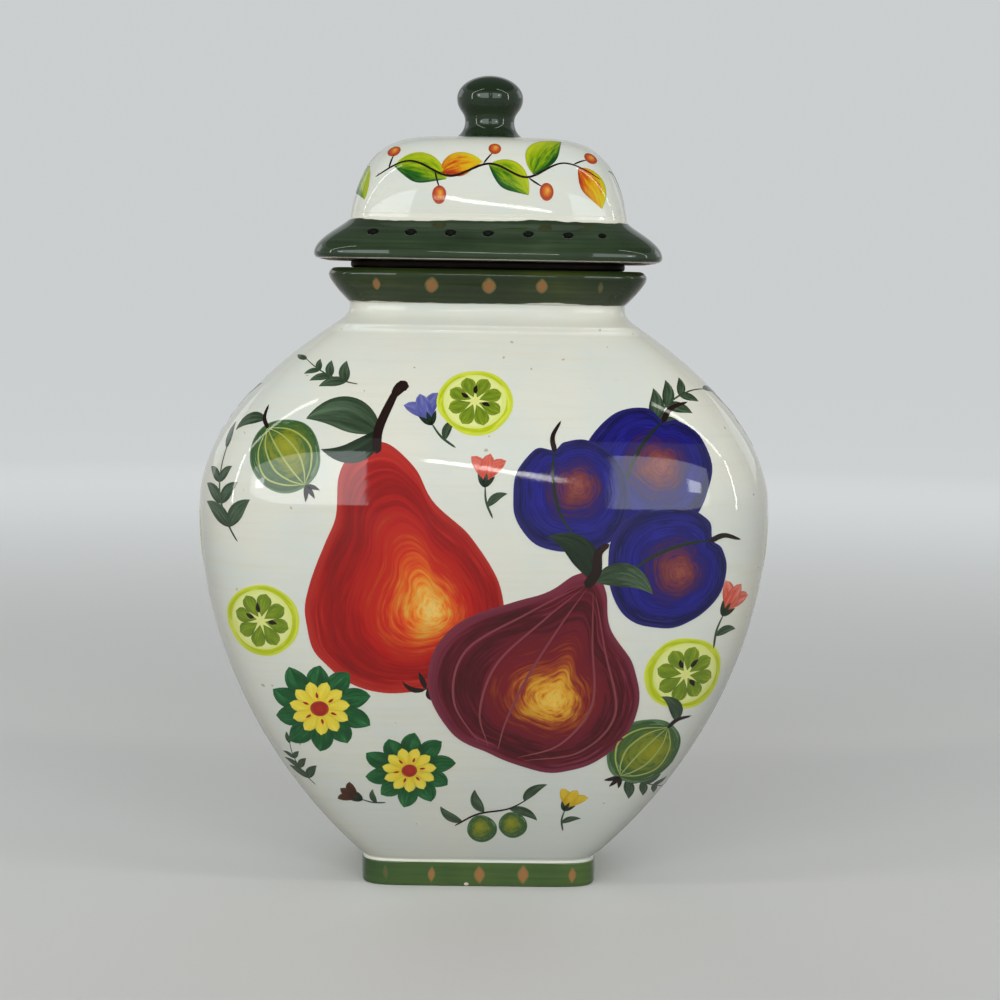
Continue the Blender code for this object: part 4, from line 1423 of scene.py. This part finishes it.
def draw_bud(name, spot, paint, layer):
    """A bud of three petals on a stem with one leaf."""
    flower = Motif(name, spot, layer)
    flower.line([(5, -15), (1.5, -9), (0, -2)], 0.45, LEAF)
    flower.leaf((2.5, -11), (9, -5), 1.6, 0.15, LEAF)
    for tip, bend in (((-6.6, 6.8), -0.14), ((6.6, 7.2), 0.14)):
        flower.leaf((0, -3), tip, 2.5, bend, paint, 0.6, 0.6)
    flower.dry()
    flower.leaf((0, -3), (0.4, 9), 2.8, 0.03, paint, 0.55, 0.6)
    flower.dry()
    for tip in ((-3.2, 0.8), (0.2, 1.6), (3.4, 0.8)):
        flower.leaf((0, -4), tip, 0.9, 0.0, DARK_LEAF)
    return flower.finish()


SPRIG_PAIRS, SPRIG_LENGTH, SPRIG_STEPS = 3, 34, 40


def draw_sprig(name, spot, layer):
    """A stem that bows to the left, with pairs of leaves that shrink to one at its tip."""
    sprig = Motif(name, spot, layer)
    stem = bent_line((0, 0), (0, SPRIG_LENGTH), 0.12, SPRIG_STEPS)
    sprig.stroke(stem, 0.36 * press_and_lift(SPRIG_STEPS, 0.3, 0.4), LEAF, 2)
    for index in range(SPRIG_PAIRS):
        root = stem[int((SPRIG_STEPS - 1) * (0.16 + 0.68 * index / SPRIG_PAIRS))]
        size = 1 - 0.62 * index / SPRIG_PAIRS
        for side, lean in ((1, 7.5), (-1, 9.5)):
            tip = root + np.array([side * 9.5 * size, lean * size])
            sprig.leaf(root, tip, 2.7 * size, 0.1 * side, LEAF)
    sprig.leaf(stem[-5], stem[-1] + np.array([0.4, 4.5]), 1.5, 0.05, LEAF)
    return sprig.finish()


# %% [markdown]
# ## Laying out the four faces
#
# The wide front carries the fullest group: a pear and a fig lean on each other, plums fill the upper
# right, and small things scatter to the sides. The back has a calmer group, and each narrow side a
# column of small subjects. A random scatter would crowd some and leave holes elsewhere, so the places
# are listed one by one. Every row of the layout is one painted subject with its place in millimetres
# across the face and above the table, its turn in degrees, its size and its coat, counted up from 0
# at the glaze, so that a subject which overlaps another starts on a higher coat.

# %% Front
jar_face = Skin(jar_skin, "jar", "jar_glaze")


def lay_out(facing, subjects):
    """Draw each subject on the face that looks so many degrees round from the front."""
    for draw, name, across, level, turn, size, layer, *more in subjects:
        draw(name, Spot(jar_face, facing, across, level, turn, size), *more, layer=layer)
    print(f"facing {facing} degrees: {len(subjects)} subjects")


lay_out(0, [
    (draw_sprig, "plum_leaves", 54, 166, -48, 1.0, 0),
    (draw_sprig, "left_sprig", -84, 128, 14, 1.05, 0),
    (draw_sprig, "top_sprig", -44, 182, 54, 0.72, 1),
    (draw_sprig, "low_sprig", 47, 44, -118, 0.72, 0),
    (draw_pear, "red_pear", -30, 119, 13, 1.06, 0),
    (draw_plum, "blue_plum_top", 55, 155, -20, 0.98, 1),
    (draw_plum, "blue_plum_left", 29, 146, 18, 0.88, 3),
    (draw_plum, "blue_plum_right", 62, 122, -62, 0.94, 5),
    (draw_fig, "wine_fig", 20, 83, -24, 1.04, 6),
    (draw_daisy, "daisy_left", -56, 70, 10, 1.0, 2),
    (draw_daisy, "daisy_low", -25, 47, 40, 0.9, 2),
    (draw_citrus, "lime_left", -76, 101, 20, 1.0, 2),
    (draw_citrus, "lime_right", 70, 84, -30, 1.05, 0),
    (draw_citrus, "lime_top", -4, 177, 5, 0.95, 2),
    (draw_gooseberry, "gooseberry_right", 57, 55, -40, 0.92, 5),
    (draw_gooseberry, "gooseberry_left", -68, 158, 34, 0.9, 0),
    (draw_olives, "olive_twig", 4, 30, 6, 0.8, 0),
    (draw_sprig, "corner_sprig", -58, 40, 28, 0.62, 0),
    (draw_bud, "coral_bud_top", 0, 152, -8, 0.9, 0, CORAL),
    (draw_bud, "violet_bud", -20, 172, 22, 0.95, 1, VIOLET),
    (draw_bud, "coral_bud", 84, 108, -36, 1.0, 0, CORAL),
    (draw_bud, "amber_bud", 31, 34, -24, 0.8, 1, AMBER),
    (draw_bud, "umber_bud", -44, 36, 60, 0.7, 1, UMBER),
])

# %% Back and sides
lay_out(180, [
    (draw_sprig, "back_sprig_left", -62, 150, 40, 1.0, 0),
    (draw_sprig, "back_sprig_right", 70, 128, -34, 1.05, 0),
    (draw_sprig, "back_sprig_low", -12, 40, 96, 0.9, 0),
    (draw_fig, "back_fig", -26, 124, 16, 0.78, 0),
    (draw_pear, "back_pear", 24, 102, -16, 0.80, 2),
    (draw_plum, "back_plum_left", -48, 78, 28, 0.80, 0),
    (draw_plum, "back_plum_right", -18, 68, -14, 0.74, 2),
    (draw_daisy, "back_daisy", 46, 158, 0, 0.86, 0),
    (draw_citrus, "back_lime_left", -78, 112, 12, 0.95, 0),
    (draw_citrus, "back_lime_right", 62, 72, -20, 1.0, 0),
    (draw_gooseberry, "back_gooseberry", 22, 52, 30, 0.9, 0),
    (draw_olives, "back_olives", 0, 178, -6, 0.85, 0),
    (draw_bud, "back_coral_bud", -58, 46, 34, 0.85, 0, CORAL),
    (draw_bud, "back_violet_bud", 88, 96, -50, 0.9, 0, VIOLET),
])
for facing, side in ((90, "right"), (270, "left")):
    turn = 1 if side == "right" else -1
    lay_out(facing, [
        (draw_sprig, f"{side}_side_sprig_top", -20 * turn, 158, 34 * turn, 0.9, 0),
        (draw_sprig, f"{side}_side_sprig_low", 14 * turn, 58, -150 * turn, 0.8, 0),
        (draw_pear if turn > 0 else draw_fig, f"{side}_side_fruit", 4 * turn, 112, -10 * turn, 0.68, 0),
        (draw_citrus, f"{side}_side_lime", -32 * turn, 128, 10, 0.85, 0),
        (draw_daisy, f"{side}_side_daisy", 24 * turn, 152, 0, 0.72, 0),
        (draw_gooseberry, f"{side}_side_gooseberry", -22 * turn, 72, -20 * turn, 0.8, 0),
        (draw_bud, f"{side}_side_bud", 34 * turn, 92, -40 * turn, 0.85, 0, AMBER if turn > 0 else VIOLET),
    ])

# %% [markdown]
# ## Vine on the lid
#
# A vine runs round the lid's dome, one length on each face. Its stem is one long thin stroke. Leaves in
# lime and flame leave it by turns on either side, each a single press of a loaded brush, so the two
# colours run into each other along it. Hips on short stalks fill the gaps. Each leaf could be placed
# one by one, as the fruit are, but a vine follows a rule, so one loop sets them all along the stem.

# %% Vine
VINE_STEPS, VINE_LEAVES = 24, ((1.0, LIME_LEAF), (0.8, FLAME_LEAF), (0.9, LIME_LEAF))
lid_face = Skin(lid_shell, "lid", "lid_glaze")


def draw_vine(name, spot, stem_points, count, first):
    """A stem with so many leaves and hips. Its first leaf's side, size and paint follow first."""
    vine = Motif(name, spot)
    steps = VINE_STEPS * count
    stem = flow(stem_points, steps)
    heading = np.gradient(stem, axis=0)
    heading /= np.linalg.norm(heading, axis=1)[:, None]
    joints = []
    for index in range(count):
        at = int((steps - 1) * (index + 0.5) / count)
        way = heading[at]
        side = np.array([-way[1], way[0]]) * (1 if (index + first) % 2 else -1)
        joints.append((stem[at], way, side, (index + first) % 3))
    for root, way, side, kind in joints:
        size, paint = VINE_LEAVES[kind]
        vine.leaf(root + side * 0.5, root + (way * 15 + side * 12) * size, 5.6 * size, 0.09, paint, 0.46)
        hip = root - side * 6.4 + way * 2.4
        vine.blob(wander(oval(2.3, 2.7, 24, hip), 0.4), HIP, hip + (0.4, 0.6), 1.0)
    vine.dry()
    vine.stroke(stem, 0.40 * press_and_lift(steps, 0.4, 0.3), INK, 2)
    for root, way, side, _ in joints:
        vine.line([root - way * 2, root - side * 2.6, root - side * 4.4 + way * 1.6], 0.3, INK)
    return vine.finish()


DOME_MIDDLE, DOME_LEAN = (DOME_BASE + 0.58 * DOME_HEIGHT) / MM, 42
WIDE_STEM = [(-40, -1), (-28, 3), (-14, -2.5), (0, 2), (13, -2.5), (26, 3), (39, -1)]
NARROW_STEM = [(-25, 2), (-14, -2.5), (-2, 2.5), (11, -2), (24, 2)]
VINES = (("front", 0, WIDE_STEM, 5, 0), ("right", 90, NARROW_STEM, 3, 1),
         ("back", 180, WIDE_STEM, 5, 1), ("left", 270, NARROW_STEM, 3, 0))
for name, facing, stem, count, first in VINES:
    draw_vine(f"{name}_vine", Spot(lid_face, facing, 0, DOME_MIDDLE, lean=DOME_LEAN), stem, count, first)
print(f"vine: {len(VINES)} lengths round the lid")

# %% [markdown]
# ## Marks on the rim and the foot
#
# Both green bands carry a plain border of tan marks, each one dab of a small pointed brush. Where it
# was pressed lightly the mark is narrow, and the green shows through its thin paint. An Array modifier
# would repeat one mark, and all would look stamped. So one outline serves a whole band, squeezed by
# the press, and two paints, a full one and a worn one, run out into the band's own colour at their
# edge. Like all the painting, the marks are measured in millimetres.

# %% Border marks
TAN_STOPS = [(0.00, 152, 104, 58), (0.66, 146, 104, 60), (0.84, 112, 98, 50)]
WORN_STOPS = [(0.00, 96, 86, 50), (0.60, 88, 86, 46)]
RIM_EDGE_GREEN, FOOT_EDGE_GREEN = (1.0, 50, 66, 38), (1.0, 74, 98, 50)
RIM_PITCH, RIM_LEVEL, RIM_FRONT = 19.4, (NECK_TOP + 0.52 * RIM_HEIGHT) / MM, (0.60, 0.98, 1.00, 0.84, 0.44)
FOOT_PITCH, FOOT_LEVEL, FOOT_FRONT = 16.8, 0.50 * FOOT_BAND / MM, (0.45, 0.72, 0.95, 1.04, 0.74)
PRESSES, LIGHTEST_FULL = (0.55, 1.05), 0.5
STRAY_ACROSS, STRAY_UP, STRAY_TURN = 0.4, 0.15, 4


def mix_tans(band, edge_green):
    """The full paint and the worn one for a band's marks, which run out into its green."""
    return [mix_fruit(f"{band}_{kind}", [*stops, edge_green], streak=0.3, rounds=3.0, shade=0.14)
            for kind, stops in (("tan", TAN_STOPS), ("tan_worn", WORN_STOPS))]


def dab(half_width, half_height, pointed):
    """An oval that is drawn out to a point above and below, by a share."""
    outline = oval(half_width, half_height, 32)
    nearness = np.abs(outline[:, 1] / half_height)
    outline[:, 0] *= 1 - pointed * nearness ** 2
    outline[:, 1] *= 1 + pointed / 2 * nearness ** 8
    return outline


def draw_border(name, skin, half_sides, pitch, level, outline, paints, front):
    """One mark after another round all four faces, the front ones pressed as hard as given."""
    hand = np.random.default_rng(11)
    border = Motif(name, None)
    for side, half in enumerate(half_sides):
        count = int(2 * half / pitch)
        presses = hand.uniform(*PRESSES, count) if side else front
        for index, press in enumerate(presses):
            across = (index - (count - 1) / 2) * pitch + hand.normal(0, STRAY_ACROSS)
            up, turn = level + hand.normal(0, STRAY_UP), hand.normal(0, STRAY_TURN)
            border.spot = Spot(skin, 90 * side, across, up, turn, press ** 0.4)
            squeezed = outline * (min(1.0, press + 0.1), 1.0)
            paint = paints[0 if press > LIGHTEST_FULL else 1]
            border.blob(wander(squeezed, 0.3), paint, (0, 0), 0.6)
    return border.finish()


rim_half = [(side / 2 + RIM_OVERHANG) / MM for side in (NECK_WIDTH, NECK_DEPTH)] * 2
foot_half = [side / 2 / MM for side in (FOOT_WIDTH, FOOT_DEPTH)] * 2
rim_tans, foot_tans = mix_tans("rim", RIM_EDGE_GREEN), mix_tans("foot", FOOT_EDGE_GREEN)
rim_face, foot_face = Skin(rim_band, "jar", "jar_glaze"), Skin(foot_band, "jar", "jar_glaze")
rim_dabs = draw_border("rim_dabs", rim_face, rim_half, RIM_PITCH, RIM_LEVEL,
                       dab(2.6, 3.2, 0.14), rim_tans, RIM_FRONT)
foot_dabs = draw_border("foot_dabs", foot_face, foot_half, FOOT_PITCH, FOOT_LEVEL,
                        dab(2.2, 3.1, 0.34), foot_tans, FOOT_FRONT)
print(f"borders: {len(rim_dabs.data.polygons) + len(foot_dabs.data.polygons)} faces")

# %% [markdown]
# ## A chip
#
# Glaze is brittle, and a foot that is set down year after year loses a crumb of it. A chip could be cut
# into the skin, but it is under two millimetres wide, so a small film of the bare clay's own finish
# reads the same.

# %% Chip at the foot's lower edge
chip = Motif("foot_chip", Spot(foot_face, 0, -4.4, 0.9))
chip.blob(wander(oval(0.85, 0.55, 16), 0.4), bare_clay, (0, 0), 0.4)
print(f"foot_chip: {len(chip.finish().data.polygons)} faces")

# %% [markdown]
# ## Studio
#
# The jar stands on a plain pale floor that curves up into a backdrop all round, like a bowl, so no
# horizon cuts the picture from any side. A glossy glaze shows its lamps, so their shapes matter as
# much as their strength. Two broad windows of daylight stand in front, each with a spot of glare, thin
# strips at the sides draw the long bright lines on the belly and the slopes, and two finer ones cross
# the middle. Two dimmer windows light the back from the sides: straight behind the jar they would draw
# a white line round its outline. So the soft light from straight behind is kept out of the glaze's
# reflections, and so is a low soft light in front, which opens the shade below the belly. The bowl
# glows a little too, as the walls of a bright room do, and less so high up. A picture of a room could
# light the jar instead, but lamps can be moved one by one.

# %% Floor and backdrop
FLOOR_RADIUS, BOWL_RADIUS, BOWL_HEIGHT, BOWL_COUNT = 2.2, 4.2, 3.4, 96
FLOOR_RINGS = (0.02, 0.5, 1.2)
BACKDROP, BACKDROP_FADE = srgb(203, 206, 207), (0.5, 1.9)
PAPER, PAPER_PALE, TABLE_BOUNCE = srgb(222, 221, 218), srgb(226, 225, 223), srgb(46, 34, 22)
BOWL_GLOW, GLOW_RISE = 0.62, (0.1, 1.0)
HIGH_GLOW, GLOW_FALL = 0.4, (0.8, 2.4)
BLACK = (0, 0, 0, 1)


def mix_paper():
    """Pale paper to look at. Light that it throws back at the jar is warmer and weaker, as from a table."""
    mix = Mix("studio_paper")
    place = mix.place()
    height = mix.part(place, "Z")
    rays = mix.add("LightPath", {}).node.outputs
    seen = mix.math("MAXIMUM", rays["Is Camera Ray"], rays["Is Glossy Ray"])
    seen = mix.math("MAXIMUM", seen, rays["Is Transmission Ray"])
    pale = mix.blend(mix.noise(place, 3.0, 3.0), PAPER, PAPER_PALE)
    mix.set("Roughness", 0.9)
    mix.set("Specular IOR Level", 0.1)
    flat = mix.join(mix.part(place, "X"), mix.part(place, "Y"))
    far = mix.fit(mix.vector("LENGTH", flat, output=1), *BACKDROP_FADE)
    mix.set("Emission Color", BACKDROP)
    walls = mix.fit(height, *GLOW_RISE, 0.0, BOWL_GLOW)
    walls = mix.times(walls, mix.fit(height, *GLOW_FALL, 1.0, HIGH_GLOW))
    shown = mix.math("MAXIMUM", mix.times(seen, far), walls)
    mix.set("Emission Strength", shown)
    color = mix.blend(seen, TABLE_BOUNCE, pale)
    mix.set("Base Color", mix.blend(shown, color, BLACK))
    return mix.material


wall = arc((FLOOR_RADIUS, BOWL_HEIGHT), BOWL_HEIGHT, -90, 0, 24)
wall[:, 0] = FLOOR_RADIUS + (wall[:, 0] - FLOOR_RADIUS) * (BOWL_RADIUS - FLOOR_RADIUS) / BOWL_HEIGHT
bowl_rows = [(r, r, 0.0, 2.0) for r in FLOOR_RINGS] + [(r, r, z, 2.0) for r, z in wall]
bowl_grid = rings(bowl_rows, BOWL_COUNT)
bowl_faces = grid_faces(len(bowl_grid), BOWL_COUNT) + [tuple(reversed(range(BOWL_COUNT)))]
bowl_faces = [tuple(reversed(face)) for face in bowl_faces]
floor = new_object("floor_sweep", bowl_grid.reshape(-1, 3), bowl_faces, [mix_paper()])
floor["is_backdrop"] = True
print(f"floor_sweep: {2 * BOWL_RADIUS} m across")

# %% Lamps
MIDDLE = Vector((0.0, 0.0, 0.15))
DAYLIGHT, TUBE_LIGHT = (0.92, 0.98, 1.0), (1.0, 0.97, 0.90)
WINDOW_Y, GLARE_Y, FILL_Y = -2.2, -2.15, -2.3
STRIP_AWAY, STRIP_WIDTH, TUBE_WIDTH, BACK_AWAY = 1.7, 0.06, 0.009, 2.6
SIDES = ((-1, "left"), (1, "right"))


def lamp(name, start, end, width, strength, tint):
    """A flat lamp from start to end that faces the jar. A strength of 1 shows as white."""
    start, end = Vector(start), Vector(end)
    middle, along = (start + end) / 2, (end - start).normalized()
    back = middle - MIDDLE
    back = (back - along * back.dot(along)).normalized()
    data = bpy.data.lights.new(name, "AREA")
    data.shape = "RECTANGLE"
    data.size, data.size_y = (end - start).length, width
    data.energy = strength * math.pi * data.size * data.size_y
    data.color = tint
    obj = bpy.data.objects.new(name, data)
    facing = Matrix((along, back.cross(along), back)).transposed().to_4x4()
    obj.matrix_world = Matrix.Translation(middle) @ facing
    bpy.context.scene.collection.objects.link(obj)
    return obj


def level_lamp(name, left, right, y, level, height, strength):
    """A lamp of daylight that stands level in front of the jar."""
    return lamp(name, (left, y, level), (right, y, level), height, strength, DAYLIGHT)


def toward(azimuth, elevation, distance):
    """A point seen from the jar's middle, in degrees right of the front and degrees up."""
    azimuth, elevation = math.radians(azimuth), math.radians(elevation)
    flat, rise = distance * math.cos(elevation), distance * math.sin(elevation)
    return MIDDLE + Vector((flat * math.sin(azimuth), -flat * math.cos(azimuth), rise))


def strip_lamp(name, start, end, away, width, strength, tint):
    """A lamp from one direction to another, both as the jar's middle sees them."""
    return lamp(name, toward(*start, away), toward(*end, away), width, strength, tint)


# %% Switch them on
level_lamp("left_window", -2.30, -0.22, WINDOW_Y, 0.72, 1.30, 3.7)
level_lamp("right_window", 0.30, 1.80, WINDOW_Y, 0.72, 1.30, 3.0)
soft = [level_lamp("low_fill", -1.5, 1.1, FILL_Y, 0.18, 0.30, 2.0)]
for side, name in SIDES:
    strip_lamp(f"{name}_strip", (66 * side, -2), (66 * side, 27), STRIP_AWAY, STRIP_WIDTH, 15.0, TUBE_LIGHT)
    strip_lamp(f"{name}_slope_strip", (64 * side, 29), (30 * side, 56), STRIP_AWAY, STRIP_WIDTH, 9.5,
               TUBE_LIGHT)
level_lamp("left_glare", -1.98, -1.58, GLARE_Y, 0.80, 0.34, 9.0)
level_lamp("right_glare", 1.10, 1.44, GLARE_Y, 0.80, 0.30, 9.0)
for gap, name in ((-0.5, "lower"), (0.5, "upper")):
    strip_lamp(f"{name}_tube", (-2, 26 + gap), (3.5, 17 + gap), STRIP_AWAY, TUBE_WIDTH, 24.0, TUBE_LIGHT)
for side, name in SIDES:
    strip_lamp(f"{name}_back_window", (116 * side, 18), (142 * side, 18), BACK_AWAY, 0.9, 0.9, DAYLIGHT)
    soft.append(strip_lamp(f"{name}_back_fill", (144 * side, 8), (176 * side, 8), BACK_AWAY, 1.0, 4.2,
                           DAYLIGHT))
for obj in soft:
    obj.visible_glossy = False
print(f"lamps: {len(bpy.data.lights)}, of which {len(soft)} don't show in the glaze")

# %% Air of the room
WORLD_TINT, WORLD_STRENGTH = (0.93, 0.96, 1.0, 1.0), 0.24
world = bpy.data.worlds.new("studio_air")
bpy.context.scene.world = world
world.use_nodes = True
background = world.node_tree.nodes["Background"]
background.inputs["Color"].default_value = WORLD_TINT
background.inputs["Strength"].default_value = WORLD_STRENGTH
print(f"world: strength {WORLD_STRENGTH}")

# %% [markdown]
# ## Camera
#
# The jar is seen as one sees it with a phone in the hand, from about the level of its rim: tilted down
# by less than six degrees, and turned and rolled by about one. A short lens close by would swell the
# belly, so this one is long, and the jar nearly fills the frame from less than a metre away.

# %% Camera
LENS, SENSOR = 76.68, 36.0
YAW, PITCH, ROLL = 0.016, math.radians(5.68), math.radians(0.95)
STATION = Vector((0.006, -0.784, 0.21545))

camera_data = bpy.data.cameras.new("camera")
camera_data.lens = LENS
camera_data.sensor_width = SENSOR
camera = bpy.data.objects.new("camera", camera_data)
bpy.context.scene.collection.objects.link(camera)
stand = Matrix.Rotation(-YAW, 4, "Z") @ Matrix.Translation(STATION)
tilt = Matrix.Rotation(math.radians(90) - PITCH, 4, "X") @ Matrix.Rotation(ROLL, 4, "Z")
camera.matrix_world = stand @ tilt
bpy.context.scene.camera = camera
bpy.context.scene.view_settings.view_transform = "Standard"
print(f"camera: {STATION.length:.2f} m from the jar's foot, lens {LENS} mm")

# %% Print the box of the pieces and finish
low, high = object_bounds()
print("box of the pieces:", [round(v / MM, 2) for v in (*low, *high)])
